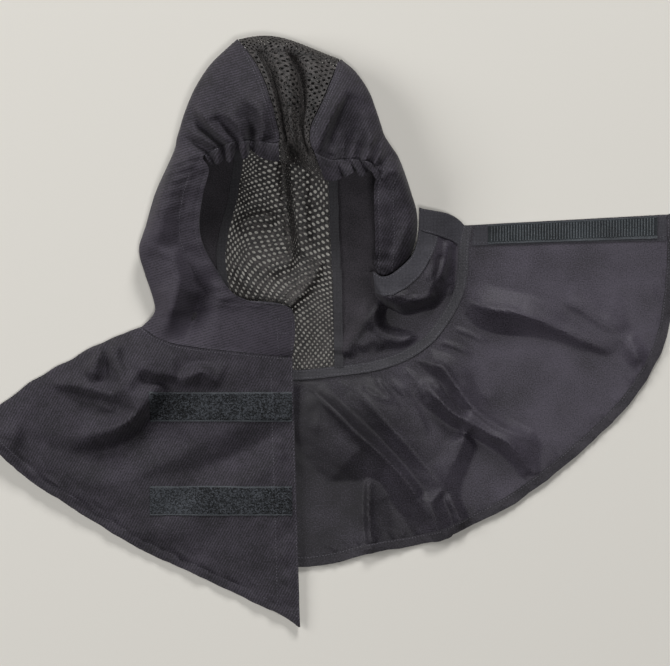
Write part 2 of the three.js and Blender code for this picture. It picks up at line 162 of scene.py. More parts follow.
def stacked(x: Array, y: Array, z: Array) -> Array:
    """Points from their three columns."""
    return np.stack(np.broadcast_arrays(x, y, z), axis=-1).astype(float)


def gone_along(line: Array) -> Array:
    """Distance gone at each point of a line."""
    return np.concatenate([[0.0], np.cumsum(np.linalg.norm(np.diff(line, axis=0), axis=1))])


class Table:
    """Rows of named columns, with a smooth curve through them."""

    def __init__(self, columns: str, rows: Sequence[Sequence[float]]) -> None:
        """Keep the rows, and the columns' names, which have spaces between."""
        self.names = columns.split()
        self.values = np.array(rows, dtype=float)

    def at(self, row: Array) -> dict[str, Array]:
        """Values anywhere between the rows, on a Catmull-Rom curve.

        Args:
            row: Places in the table, as row numbers.

        Returns:
            One array for each column.
        """
        row = np.asarray(row, dtype=float)
        last = len(self.values) - 1
        start = np.clip(np.floor(row).astype(int), 0, last - 1)
        step = (row - start)[..., None]
        a, b, c, d = (self.values[np.clip(start + k, 0, last)] for k in (-1, 0, 1, 2))
        bend = 2 * a - 5 * b + 4 * c - d
        twist = 3 * (b - c) + d - a
        found = b + 0.5 * step * ((c - a) + step * (bend + step * twist))
        return {name: found[..., i] for i, name in enumerate(self.names)}

    def share(self, share: Array) -> dict[str, Array]:
        """Values at a share, 0 to 1, of the way down the table."""
        return self.at(np.asarray(share) * (len(self.values) - 1))


@dataclass(frozen=True)
class Crease:
    """A ridge of the cloth, or a valley where its height is below zero.

    The crest runs along a line of the plan, and its two flanks have widths of their own, so that one
    can be steep and the other gentle.
    """

    line: tuple[tuple[float, float], ...]
    height: float
    left: float
    right: float
    fade_in: float = 0.25
    fade_out: float = 0.3

    def lift(self, x: Array, y: Array) -> Array:
        """Height that the crease adds over points of the plan.

        Args:
            x: Places across the plan.
            y: Places up the plan.

        Returns:
            The height at each point.
        """
        ends = np.linspace(0.0, 1.0, 6 * (len(self.line) - 1) + 1)
        crest = Table("x y", self.line).share(ends)
        run_x, run_y = np.diff(crest["x"]), np.diff(crest["y"])
        off_x = x[..., None] - crest["x"][:-1]
        off_y = y[..., None] - crest["y"][:-1]
        squared = run_x**2 + run_y**2
        along = np.clip((off_x * run_x + off_y * run_y) / squared, 0.0, 1.0)
        miss_x, miss_y = off_x - along * run_x, off_y - along * run_y
        distance = np.hypot(miss_x, miss_y)
        nearest = np.argmin(distance, axis=-1)[..., None]

        def at_crest(values: Array) -> Array:
            """Values at the nearest stretch of the crest."""
            return np.take_along_axis(np.broadcast_to(values, distance.shape), nearest, axis=-1)[..., 0]

        side = at_crest(run_x * off_y - run_y * off_x)
        width = np.where(side > 0, self.left, self.right)
        place = (nearest[..., 0] + at_crest(along)) / len(run_x)
        taper = window(place, 0.0, self.fade_in, 1 - self.fade_out, 1.0)
        return self.height * taper / np.cosh(np.minimum(at_crest(distance) / width, 40.0)) ** 2


def creases(*rows: tuple) -> tuple[Crease, ...]:
    """Creases from rows of their line, height, widths and fades."""
    return tuple(Crease(*row) for row in rows)


def rumpled(x: Array, y: Array, seed: int) -> Array:
    """Smooth noise between about -1 and 1, with one swell to each unit.

    Args:
        x: First places.
        y: Second places.
        seed: A number that picks the pattern.

    Returns:
        The noise at each place.
    """
    turns = np.random.default_rng(seed).uniform(0, 2 * math.pi, (64, 64))
    i, j = np.floor(x).astype(int), np.floor(y).astype(int)
    part_x, part_y = x - i, y - j

    def corner(over: int, up: int) -> Array:
        """Slope from one corner of the cell."""
        turn = turns[(i + over) % 64, (j + up) % 64]
        return np.cos(turn) * (part_x - over) + np.sin(turn) * (part_y - up)

    ease_x, ease_y = smoothstep(part_x, 0, 1), smoothstep(part_y, 0, 1)
    below = lerp(corner(0, 0), corner(1, 0), ease_x)
    above = lerp(corner(0, 1), corner(1, 1), ease_x)
    return 1.5 * lerp(below, above, ease_y)


@dataclass(frozen=True)
class Swell:
    """Uneven swells of the cloth, drawn out along a slant."""

    height: float
    length: float
    width: float
    slant_deg: float
    seed: int

    def lift(self, x: Array, y: Array) -> Array:
        """Height that the swells add over points of the plan."""
        c, s = math.cos(math.radians(self.slant_deg)), math.sin(math.radians(self.slant_deg))
        return self.height * rumpled((x * c + y * s) / self.length, (y * c - x * s) / self.width, self.seed)


Ridge = Sequence[tuple[float, float, float]]


def faceted(x: Array, y: Array, ridges: Sequence[Ridge]) -> Array:
    """Heights of the flat facets that stretch from line to line of the cloth's crests and feet.

    Args:
        x: A raster's places across, one millimetre apart.
        y: Its places up.
        ridges: Lines of the plan with their heights.

    Returns:
        The raster of heights, zero outside the lines.
    """
    marks = []
    for ridge in ridges:
        points = np.array(ridge, dtype=float)
        run = np.linalg.norm(np.diff(points[:, :2], axis=0), axis=1).sum()
        line = Table("x y z", points).share(np.linspace(0, 1, max(2, int(run / 5))))
        marks.append(np.column_stack([line["x"], line["y"], line["z"]]))
    cloud = np.concatenate(marks)
    places, _, triangles, sources, *_ = delaunay_2d_cdt([Vector(p[:2]) for p in cloud], [], [], 0, 1e-3)
    level = np.array([cloud[source[0], 2] for source in sources])
    spots = np.array([tuple(place) for place in places])
    heights = np.zeros(x.shape)
    corner = np.array([x[0, 0], y[0, 0]])
    for triangle in triangles:
        a, b, c = spots[list(triangle)]
        low = np.clip(np.floor(np.minimum(np.minimum(a, b), c) - corner).astype(int), 0, None)
        high = np.clip(np.ceil(np.maximum(np.maximum(a, b), c) - corner).astype(int) + 1, 0, None)
        part = (slice(low[0], high[0]), slice(low[1], high[1]))
        area = (b[0] - a[0]) * (c[1] - a[1]) - (b[1] - a[1]) * (c[0] - a[0])
        if abs(area) < 1e-6 or not x[part].size:
            continue
        of_b = ((x[part] - a[0]) * (c[1] - a[1]) - (y[part] - a[1]) * (c[0] - a[0])) / area
        of_c = ((b[0] - a[0]) * (y[part] - a[1]) - (b[1] - a[1]) * (x[part] - a[0])) / area
        inside = (of_b > -1e-6) & (of_c > -1e-6) & (of_b + of_c < 1 + 1e-6)
        za, zb, zc = level[list(triangle)]
        heights[part] = np.where(inside, za + (zb - za) * of_b + (zc - za) * of_c, heights[part])
    return heights


def softened(heights: Array, spread: float) -> Array:
    """Round a raster's creases off.

    Args:
        heights: The raster, one height to the millimetre.
        spread: Millimetres over which a crease is rounded.

    Returns:
        The rounded raster.
    """
    reach = int(3 * spread) + 1
    weights = np.exp(-((np.arange(-reach, reach + 1) / spread) ** 2) / 2)
    weights /= weights.sum()
    for axis in (0, 1):
        padded = np.pad(heights, [(reach, reach) if a == axis else (0, 0) for a in (0, 1)], mode="edge")
        size = heights.shape[axis]
        heights = sum(w * np.take(padded, range(i, i + size), axis=axis) for i, w in enumerate(weights))
    return heights


class Relief:
    """Heights of facets, creases and swells over a part of the plan, kept for every millimetre."""

    def __init__(
        self, box: tuple[int, int, int, int], ridges: Sequence[Ridge], folds: Sequence[Crease],
        swells: Sequence[Swell] = (), rounding: float = 1.5, height: float = 1.6,
    ) -> None:
        """Work the heights out once.

        Args:
            box: Low x, low y, high x and high y of the part.
            ridges: Lines of its facets.
            folds: Its creases.
            swells: Its swells.
            rounding: How far the facets' edges are rounded off.
            height: How much higher the facets stand than their lines say.
        """
        self.low = np.array(box[:2], dtype=float)
        x, y = np.meshgrid(np.arange(box[0], box[2] + 1.0), np.arange(box[1], box[3] + 1.0), indexing="ij")
        self.heights = height * softened(faceted(x, y, ridges), rounding) if ridges else np.zeros(x.shape)
        for swell in swells:
            self.heights += swell.lift(x, y)
        for crease in folds:
            reach = 4.5 * max(crease.left, crease.right)
            line = np.array(crease.line)
            low = np.clip(np.floor(line.min(axis=0) - reach - self.low).astype(int), 0, None)
            high = np.clip(np.ceil(line.max(axis=0) + reach - self.low).astype(int), 0, None)
            part = (slice(low[0], high[0]), slice(low[1], high[1]))
            if x[part].size:
                self.heights[part] += crease.lift(x[part], y[part])

    def at(self, x: Array, y: Array) -> Array:
        """Height over points of the plan.

        Args:
            x: Places across the plan.
            y: Places up the plan.

        Returns:
            The height at each point.
        """
        u = np.clip(x - self.low[0], 0, self.heights.shape[0] - 1.001)
        v = np.clip(y - self.low[1], 0, self.heights.shape[1] - 1.001)
        i, j = u.astype(int), v.astype(int)
        near = lerp(self.heights[i, j], self.heights[i + 1, j], u - i)
        far = lerp(self.heights[i, j + 1], self.heights[i + 1, j + 1], u - i)
        return lerp(near, far, v - j)


CAPE = Table("neck_x neck_y neck_z hem_x hem_y hem_z bow", [
    (-35.5, -25, 16, -28, -295, 4.4, 0),  # closed front edge
    (-58, -23.5, 16.5, -51, -281.5, 4.4, 0),
    (-93, -20, 17, -123, -247.5, 4, 0),
    (-128, -16.5, 17, -188, -217, 4.4, 0),
    (-154, -12, 16, -248, -181, 6, 3),
    (-172, -5, 14.5, -300, -147, 9.5, 6),
    (-181, 1, 12.5, -339, -111, 12.5, 9),  # top of the side fold
    (-186, 5, 7, -349, -90, 7, 10),
    (-178, 1, FLOOR, -336, -96, FLOOR, 9),  # foot of the side fold
    (-150, -13, FLOOR, -278, -138, FLOOR, 4),
    (-113, -27, FLOOR, -203, -183, FLOOR, 0),
    (-70, -37, FLOOR, -118, -218, FLOOR, 0),  # left mesh seam
    (-31, -40, FLOOR, -31, -235, FLOOR, 0),
    (11, -36, FLOOR, 40, -223, FLOOR, 0),  # right mesh seam
    (46, -31, FLOOR, 112, -209, FLOOR, 0),
    (75, -21, FLOOR, 180, -176, FLOOR, 0),
    (99, -5, FLOOR, 244, -128, FLOOR, 0),
    (117, 19, FLOOR, 300, -74, FLOOR, 0),
    (128, 41, FLOOR, 334, -20, FLOOR, 0),
    (132, 63, FLOOR, 347, 36, FLOOR, 0),
    (133, 86, FLOOR, 350, 92, FLOOR, 0),  # inner edge of the front facing
    (137, 106.5, FLOOR, 350, 118, FLOOR, 0),  # open front edge
])

LEFT = Table("edge_x edge_y edge_z fold_x fold_y back_x back_y", [
    (-81, 280, 40, -90, 291.5, -78, 270),  # crown
    (-71, 265, 50, -115, 268, -81, 247),
    (-63, 248, 57, -130, 246, -84, 226),
    (-57, 230, 61, -138, 229, -86, 208),
    (-52, 210, 63, -143.5, 214, -87, 192),
    (-49, 189, 62, -147, 202, -89, 178),  # brow, at the mesh
    (-70, 190, 61, -150, 192, -90, 168),
    (-96, 188, 58, -152, 182, -91, 159),
    (-123, 175, 54, -158, 168, -93, 148),  # corner of brow and face edge
    (-118, 161, 50, -166, 151, -95, 134),
    (-124, 137, 44, -173, 134, -99, 119),
    (-128, 110, 38, -181, 106, -104, 100),
    (-125, 88, 33, -188, 82, -107, 77),
    (-114, 66, 29, -182, 58, -104, 47),
    (-99, 43, 26, -175, 37, -96, 17),
    (-80, 31, 24, -172, 22, -86, -8),
    (-35, 21, 20, -178, 12, -76, -28),  # chin
    (-35.5, -25, 16, -186, 5, -70, -37),  # neck seam
])

RIGHT = Table("edge_x edge_y edge_z fold_x fold_y back_x back_y", [
    (10, 268, 36, 12.5, 271.5, 6, 252),  # crown
    (6, 256, 46, 27, 259, 5, 234),
    (-1, 238, 55, 40, 240, 4, 218),
    (-9, 220, 60, 47, 222, 4, 204),
    (-17, 201, 61, 52, 207, 4, 190),
    (-15, 182, 60, 56, 195, 4, 178),  # brow, at the mesh
    (2, 172, 58, 63, 184, 4, 166),
    (26, 172, 55, 69, 175, 5, 154),
    (50, 164, 50, 75, 161, 5, 141),  # corner of brow and face edge
    (46, 146, 46, 82, 140, 6, 126),
    (46, 122, 41, 88, 119, 6, 110),
    (47, 98, 34, 88, 97, 7, 92),
    (47, 80, 27, 81, 75, 8, 76),
    (46, 69, 22, 69, 62, 8, 62),
    (50, 59, 18, 59, 55, 9, 52),  # turn of the face edge
])

CHIN = Table("edge_x edge_y edge_z neck shelf foot", [
    (9, 62.4, FLOOR, NAPE_RIGHT_ROW, 0, 0.2),
    (26, 62.2, FLOOR, 13.5, 0, 0.2),
    (41, 60, 4, 14, 0.02, 0.14),
    (46, 60, 20, 14.4, 0.12, 0.3),
    (53, 55.5, 23, 14.9, 0.24, 0.44),
    (62, 57, 24, 15.4, 0.36, 0.58),
    (74, 66, 24, 16.2, 0.46, 0.7),
    (84, 77, 23, 17, 0.55, 0.88),
    (89, 92, 21, 18.8, 0.4, 0.95),
    (90, 102, 19, FACING_ROW, 0.2, 0.95),  # inner edge of the front facing
    (91, 124, 16, 21, 0.1, 0.95),  # open front edge
])

# Brow casings, from the mesh to the face edge: their stitched line and their ruffled edge
LEFT_BROW = Table("x y z", [
    (-48, 169, 56), (-56, 170, 57), (-66, 173, 56), (-73, 178, 53), (-77, 181, 47), (-80, 173, 55),
    (-84, 172, 57), (-87, 179, 49), (-91, 180, 50), (-95, 172, 56), (-98, 168, 57), (-102, 172, 48),
    (-106, 169, 53), (-109, 166, 55), (-113, 168, 47), (-116, 166, 51),
])
RIGHT_BROW = Table("x y z", [
    (-3, 151, 54), (5, 150, 56), (11, 151, 55), (15, 155, 48), (19, 154, 55), (25, 158, 55),
    (29, 159, 47), (32, 154, 54), (36, 155, 55), (40, 160, 47), (44, 159, 51), (47, 153, 53),
    (50, 151, 52), (53, 156, 46), (55, 155, 48),
])

# Crests, feet and valleys of the closed front
FRONT_RIDGES = (
    ((-32, -32, 0), (-93, -28, 0), (-128, -24, 0), (-154, -20, 0), (-174, -12, 1), (-190, -4, 0)),
    ((-200, -4, 0), (-256, -36, 0), (-316, -78, 0), (-348, -100, 0)),
    ((-346, -116, 0), (-300, -144, 0), (-246, -176, 0), (-186, -210, 0), (-122, -240, 0), (-28, -288, 0)),
    ((-30, -40, 0), (-29, -100, 0), (-28, -200, 0), (-26, -286, 0)),
    # Pinched crests beside the side fold
    ((-272, -36, 1), (-248, -43, 1), (-236, -47, 1)),
    ((-284, -48, 0.5), (-254, -54, 4.5), (-228, -60, 6), (-204, -69, 5)),
    ((-284, -54, 0), (-254, -60, 0), (-230, -66, 0.5), (-210, -74, 1)),
    ((-232, -70, 1), (-218, -74, 3.5), (-200, -77, 4)),
    ((-240, -78, 0), (-222, -82, 0.5), (-208, -85, 3)),
    ((-246, -26, 1), (-246, -38, 1)),
    ((-226, -8, 3), (-229, -26, 7), (-233, -44, 6)),
    ((-221, -10, 0), (-222, -28, -1), (-222, -50, 0)),
    # Swollen shoulder and the crease under it
    ((-213, -10, 4), (-213, -26, 6.5), (-206, -42, 8), (-199, -58, 9.5), (-198, -72, 8)),
    ((-204, -12, 1.5), (-203, -26, 2.5), (-196, -40, 5)),
    ((-190, -14, 3), (-186, -30, 8), (-177, -41, 9), (-164, -44, 7), (-152, -44, 4)),
    ((-190, -40, 7), (-178, -47, 2.5), (-162, -49, 0), (-148, -48, 0.5)),
    ((-170, -55, 6), (-180, -70, 10), (-195, -86, 10), (-217, -98, 7), (-248, -106, 2)),
    ((-160, -60, 0), (-168, -75, -2), (-180, -91, -3.5), (-199, -108, -4), (-228, -119, -3), (-258, -120, 0)),
    ((-153, -48, 2), (-142, -45, 7), (-134, -40, 9), (-127, -37, 8), (-116, -45, 7), (-108, -55, 2)),
    ((-146, -39, 0), (-137, -35, -1), (-127, -31, -1), (-116, -35, 1)),
    ((-150, -56, 0), (-138, -54, 0.5), (-122, -54, 1.5)),
    # Soft valley toward the front edge
    ((-130, -112, 0.8), (-98, -98, 1), (-64, -84, 0.8)),
    ((-121, -135, -2.6), (-87, -121, -3), (-54, -102, -2)),
    ((-112, -160, 1.2), (-76, -146, 1.4), (-48, -128, 1)),
    ((-311, -92, 1), (-312, -104, 3.4), (-313, -118, 1)),
    ((-304, -92, 0), (-304, -110, 0)),
    ((-270, -132, 1), (-236, -150, 2.4), (-200, -150, 1)),
    ((-200, -180, 0), (-160, -200, 1.8), (-120, -206, 0.4)),
)

FRONT_CREASES = creases(
    (((-46, -106), (-50, -118), (-44, -128)), 1.6, 4, 6),
    (((-46, -206), (-40, -216), (-48, -230)), 1.8, 5, 5),
    (((-44, -240), (-36, -252), (-40, -266)), 1.8, 5, 5),
)

# Crests, feet and valleys of the opened cape
OPEN_RIDGES = (
    ((-212, -244, 0), (-100, -244, 0), (40, -232, 0), (118, -217, 0), (186, -183, 0), (252, -132, 0),
     (306, -76, 0), (340, -20, 0), (354, 36, 0), (354, 100, 0)),
    ((-33, -52, 0), (11, -48, 0), (46, -43, 0), (80, -31, 0), (106, -12, 0), (126, 16, 0), (138, 40, 0),
     (143, 63, 0), (146, 100, 0)),
    ((-120, -50, 0), (-120, -220, 0)),
    # Long fold below the open front
    ((148, 54, 1), (179, 43, 2), (220, 31, 2), (262, 8, 2), (288, -6, 2)),
    ((139, 33, 3), (162, 23, 8.5), (183, 20, 8.5), (212, 11, 5), (241, -2, 2.6), (270, -14, 1.8),
     (288, -20, 0.5)),
    ((136, 18, 0), (150, 4, -0.5), (172, -6, -1), (204, -5, 0), (237, -12, 0), (264, -21, 0), (286, -26, 0)),
    ((292, -2, 1), (306, -19, 5), (311, -34, 2)),
    ((302, 4, 0), (318, -18, 0), (322, -40, 0)),
    ((296, -20, 1), (300, -32, 0)),
    ((200, 70, 1.5), (260, 56, 0.5), (320, 40, 1)),
    # Thin crease and rolled fold from the side of the neck
    ((122, -22, 1), (139, -36, 1), (156, -64, 0.5), (180, -85, 0.5), (206, -98, 0)),
    ((99, -30, 3), (114, -35, 6), (127, -53, 7), (145, -76, 7), (170, -95, 6), (195, -105, 5),
     (214, -114, 1)),
    ((100, -42, 1), (112, -50, 1.5), (121, -66, 2), (134, -81, 3)),
    ((90, -50, 2), (110, -66, 7.5), (124, -80, 9), (141, -90, 9), (162, -102, 8), (179, -110, 8),
     (189, -122, 6.5), (199, -136, 4), (210, -144, 1)),
    ((84, -66, 1), (108, -83, 1.5), (124, -94, 1), (142, -103, 0.5), (164, -116, 0), (180, -128, 0),
     (192, -144, 0)),
    ((141, -93, 8), (130, -118, 6), (118, -146, 5)),
    ((150, -112, 0.5), (142, -132, 0), (134, -154, 0)),
    # Long fold from the back of the neck to the hem, and its neighbour
    ((-46, -66, 0.5), (-38, -100, 0.8), (-14, -136, 1.2), (10, -158, 1.2), (26, -174, 1)),
    ((-36, -226, 0), (0, -222, 0), (32, -216, 0)),
    ((52, -150, 3), (70, -178, 1), (86, -204, 0.5)),
    ((-24, -53, 2), (6, -78, 8), (29, -101, 10), (45, -115, 10.5), (62, -131, 10), (83, -155, 9),
     (100, -190, 5)),
    ((-6, -52, 1), (18, -74, 3), (42, -97, 3.5), (60, -116, 3.5), (78, -136, 3.5), (98, -160, 4)),
    ((16, -54, 2), (40, -70, 6.5), (62, -94, 8), (86, -120, 7.5), (106, -145, 7), (116, -157, 5)),
    ((58, -52, 1), (74, -66, 1.5), (98, -90, 2), (118, -112, 3)),
    # Facet at the hem
    ((103, -170, 8), (106, -186, 7), (110, -204, 4)),
    ((116, -166, 3), (124, -184, 2), (128, -200, 1)),
    ((120, -163, 4), (130, -182, 5.5), (136, -198, 3)),
    ((132, -166, 0.5), (142, -190, 0)),
    # Upright crease at the back
    ((37, -150, 0), (36, -180, 0), (39, -214, 0)),
    ((41, -146, 3), (40, -180, 4.6), (43, -216, 3.5)),
    ((62, -168, 1), (66, -196, 1), (70, -212, 1)),
    ((-60, -100, 0), (-60, -200, 0)),
)

OPEN_CREASES = creases(
    # Sharp lines along the crests
    (((141, 32), (162, 23), (183, 20), (212, 11), (241, -2), (270, -14), (288, -20)), 2.8, 5, 4.5, 0.1, 0.2),
    (((232, 32), (252, 24), (272, 11), (300, -5)), 3.6, 8, 5, 0.25, 0.2),
    (((104, -31), (114, -36), (127, -53), (145, -76), (170, -95), (195, -105), (218, -116)),
     3.6, 3.6, 3.2, 0.15, 0.3),
    (((92, -46), (110, -66), (124, -80), (141, -90), (162, -102), (179, -110), (189, -122), (204, -140)),
     4.0, 3.6, 3.6, 0.15, 0.2),
    (((-22, -54), (6, -78), (29, -101), (45, -115), (62, -131), (83, -155), (100, -188)),
     4.2, 3.6, 3.6, 0.15, 0.15),
    (((20, -56), (40, -70), (62, -94), (86, -120), (106, -145)), 2.2, 5, 5, 0.2, 0.3),
    (((40, -146), (39, -180), (42, -222)), 2.4, 4.0, 5.0, 0.15, 0.1),
    (((118, -162), (126, -178), (134, -196)), 2.6, 4.5, 4, 0.2, 0.1),
    # Small gathers at the neck tape
    (((110, -10), (126, -14), (146, -24)), 1.8, 2.4, 2.4),
    (((124, 4), (142, -2), (164, -12)), 1.8, 2.4, 3),
    (((34, -54), (48, -64), (66, -70)), 1.8, 2.6, 3),
    (((74, -36), (88, -48), (96, -66)), 2.2, 2.6, 3),
    (((58, -46), (76, -62), (92, -86), (100, -104)), 2.6, 4, 4, 0.2, 0.4),
    (((48, -46), (58, -60), (74, -78)), 1.8, 3, 3, 0.2, 0.4),
    (((126, -52), (150, -62), (176, -66)), 1.4, 6, 5),
    (((-20, -60), (-8, -80), (-12, -104)), 1.6, 5, 5),
)

# Lines of the hood's large forms, as heights on its smooth shape
LEFT_RIDGES = (
    ((-44, 300, 0), (-110, 300, 0), (-160, 260, 0), (-165, 190, 0), (-195, 110, 0), (-198, 60, 0),
     (-190, -50, 0)),
    ((-44, 295, 0), (-40, 240, 0), (-40, 185, 0)),
    ((-100, 158, 0), (-112, 110, 0), (-108, 80, 0), (-90, 45, 0), (-30, 25, 0), (-30, -50, 0)),
    # Crescent right of the pinch
    ((-56, 240, 0), (-56, 214, 0), (-55, 192, 0)),
    ((-71, 187, 1), (-64, 198, 5), (-66, 215, 6.5), (-78, 228, 4), (-96, 234, 1)),
    ((-75, 190, -4), (-74, 200, -3), (-78, 212, -1)),
    # Fan left of the pinch
    ((-83, 188, 4), (-86, 200, 5.5), (-96, 211, 4), (-104, 218, 1)),
    ((-89, 189, -3), (-98, 200, -3.5), (-110, 209, -2)),
    ((-96, 187, 4), (-107, 196, 6), (-121, 210, 5.5), (-131, 226, 3)),
    ((-104, 185, -4), (-114, 194, -4.5), (-127, 205, -3), (-136, 216, -1)),
    ((-109, 182, 3), (-121, 191, 5), (-133, 200, 3)),
    ((-114, 177, -3), (-125, 184, -3.5), (-138, 190, -2)),
    ((-118, 172, 2), (-130, 178, 3), (-144, 184, 2)),
    ((-100, 258, 2), (-112, 246, 3), (-126, 240, 1)),
    # Cheek and jaw
    ((-146, 164, 1), (-160, 128, 5), (-168, 98, 4), (-174, 74, 0)),
    ((-140, 140, 0), (-146, 110, -1.5), (-148, 86, -3), (-136, 58, -4)),
    ((-124, 70, -2), (-119, 54, -4), (-122, 42, -8), (-129, 30, -11), (-136, 12, -11), (-145, -8, -7)),
    ((-104, 40, 0), (-110, 24, 0), (-117, 6, 0.5), (-126, -12, 0)),
    ((-152, 70, 3), (-148, 52, 6), (-151, 34, 7.5), (-156, 18, 7), (-163, 4, 4)),
    ((-176, 40, 0), (-174, 20, 0), (-176, 6, 0)),
    ((-80, 18, 0), (-60, 2, 1.6), (-50, -16, 0)),
)

LEFT_CREASES = creases(
    (((-77, 180), (-78, 192), (-77, 208)), -8.0, 3.4, 3.4, 0.04, 0.5),
    (((-82, 182), (-86, 196), (-97, 212), (-108, 222)), 3.6, 3, 4, 0.05, 0.4),
    (((-94, 184), (-106, 195), (-120, 210), (-132, 228)), 3.4, 3, 4, 0.05, 0.4),
    (((-101, 182), (-113, 193), (-127, 205)), -3.6, 3, 3, 0.05, 0.4),
    (((-108, 180), (-120, 190), (-134, 200)), 3.0, 3, 3, 0.05, 0.4),
    (((-88, 184), (-97, 198), (-110, 208)), -3.4, 3, 3, 0.05, 0.4),
    (((-70, 188), (-63, 199), (-64, 216), (-77, 229), (-96, 236)), 4.0, 4, 5, 0.1, 0.3),
    (((-56, 192), (-57, 212), (-66, 240)), 1.6, 4, 3, 0.1, 0.4),
    (((-132, 176), (-146, 168), (-160, 166)), 2.6, 3, 3),
    (((-130, 168), (-148, 160), (-164, 156)), 2.6, 3, 3),
    (((-130, 158), (-146, 152), (-166, 146)), 2.6, 3, 4),
    (((-134, 148), (-150, 142), (-170, 136)), 1.4, 3, 4),
    (((-140, 130), (-156, 124), (-174, 122)), 1.2, 3, 4),
)

RIGHT_RIDGES = (
    ((-30, 275, 0), (20, 278, 0), (60, 240, 0), (66, 200, 0), (90, 160, 0), (100, 110, 0), (92, 60, 0),
     (50, 45, 0)),
    ((-30, 270, 0), (-28, 200, 0), (-28, 170, 0), (0, 160, 0), (50, 155, 0), (40, 120, 0), (40, 60, 0)),
    # Strip beside the mesh, with a sharp edge and a hollow right of it
    ((20, 250, 1), (15, 234, 4), (9, 222, 7), (1, 205, 8.5), (-6, 187, 8), (-9, 178, 5)),
    ((19, 232, -1), (14, 220, -6), (7, 203, -10), (1, 187, -10), (3, 177, -6)),
    ((34, 232, 1), (26, 206, -4), (22, 188, -5)),
    ((46, 222, 0), (38, 204, 3), (42, 190, 4), (46, 178, 2)),
    ((66, 168, 2), (74, 150, 2), (80, 124, 1)),
    ((60, 156, 0), (64, 130, 0), (66, 108, 0)),
    ((86, 118, 1), (78, 104, 5), (72, 88, 5), (66, 72, 2)),
    ((68, 100, 0), (64, 84, -1), (60, 72, -1)),
)

RIGHT_CREASES = creases(
    (((15, 166), (16, 180), (17, 200)), -5.0, 3, 2.4, 0.04, 0.6),
    (((23, 166), (25, 182), (29, 204)), 5.0, 4, 3, 0.04, 0.6),
    (((30, 166), (33, 182), (37, 204)), -5.5, 3, 2.4, 0.04, 0.6),
    (((36, 166), (41, 184), (47, 206)), 4.6, 3.4, 3, 0.04, 0.6),
    (((43, 166), (48, 182), (54, 200)), -4.0, 3, 2.4, 0.04, 0.6),
    (((47, 166), (53, 182), (58, 196)), 4.0, 3, 3, 0.04, 0.6),
    (((51, 164), (58, 172), (66, 180)), -3.6, 3, 4, 0.1, 0.4),
    (((52, 150), (60, 158), (72, 160)), 2.4, 3, 3),
    (((2, 176), (8, 190), (12, 204)), 3.0, 4, 4, 0.1, 0.5),
)

CHIN_CREASES = creases(
    # Soft ridge up the inner panel, and the rolled fold below the face edge
    (((14, -25), (32, 4), (49, 27), (62, 40)), 6.0, 8, 8, 0.1, 0.2),
    (((57, 36), (47, 20), (48, 6), (57, -4), (74, -8), (90, -4)), 7.0, 6, 7, 0.15, 0.15),
    (((30, -18), (44, -8), (58, -16)), 3.0, 6, 6),
    (((60, 28), (70, 16), (82, 8), (92, 0)), -5.0, 4, 6, 0.15, 0.2),
    (((60, 36), (74, 36), (88, 30), (108, 38)), 5.0, 4, 4, 0.15, 0.15),
    (((119, 92), (118, 74), (110, 50)), 4.6, 4, 4, 0.2, 0.2),
    (((112, 78), (110, 64), (106, 52)), -3.0, 3, 3, 0.2, 0.2),
    (((98, 86), (104, 68), (100, 48)), 3.0, 5, 5),
    (((120, 54), (124, 44), (120, 34)), 3.0, 4, 4),
)

# Folds of the mesh inside the hood
NET_CREASES = creases(
    (((-46, 176), (-44, 140), (-41, 110), (-37, 82), (-34, 64)), 8.0, 7, 3.2, 0.08, 0.25),
    (((-22, 172), (-24, 136), (-22, 104), (-20, 78)), 4.5, 5, 9, 0.1, 0.3),
    (((-42, 20), (-26, 38), (-13, 55), (-4, 76)), 12.0, 9, 3.0, 0.15, 0.3),
    (((-94, 104), (-78, 113), (-60, 116), (-48, 108)), 6.0, 5, 11),
    (((-88, 160), (-86, 140), (-80, 126)), 5.0, 7, 6),
    (((-60, 58), (-47, 68), (-34, 68)), 6.0, 5, 9),
    (((-90, 70), (-84, 50), (-70, 36)), 4.0, 6, 8),
)

# Lengthwise folds of the mesh: place across it, stretch along it, depth (inward if negative), width
NET_FOLDS = Table("across to_across from to depth width", [
    (0.16, 0.14, -0.2, 1.15, -13, 0.055),
    (0.84, 0.48, -0.3, 1.15, -15, 0.055),
    (0.5, 0.3, -0.4, 0.9, 6, 0.12),
    (0.95, 0.76, 0.3, 1.1, 4, 0.1),
    (0.42, 0.5, -0.7, 0.1, -13, 0.2),
])


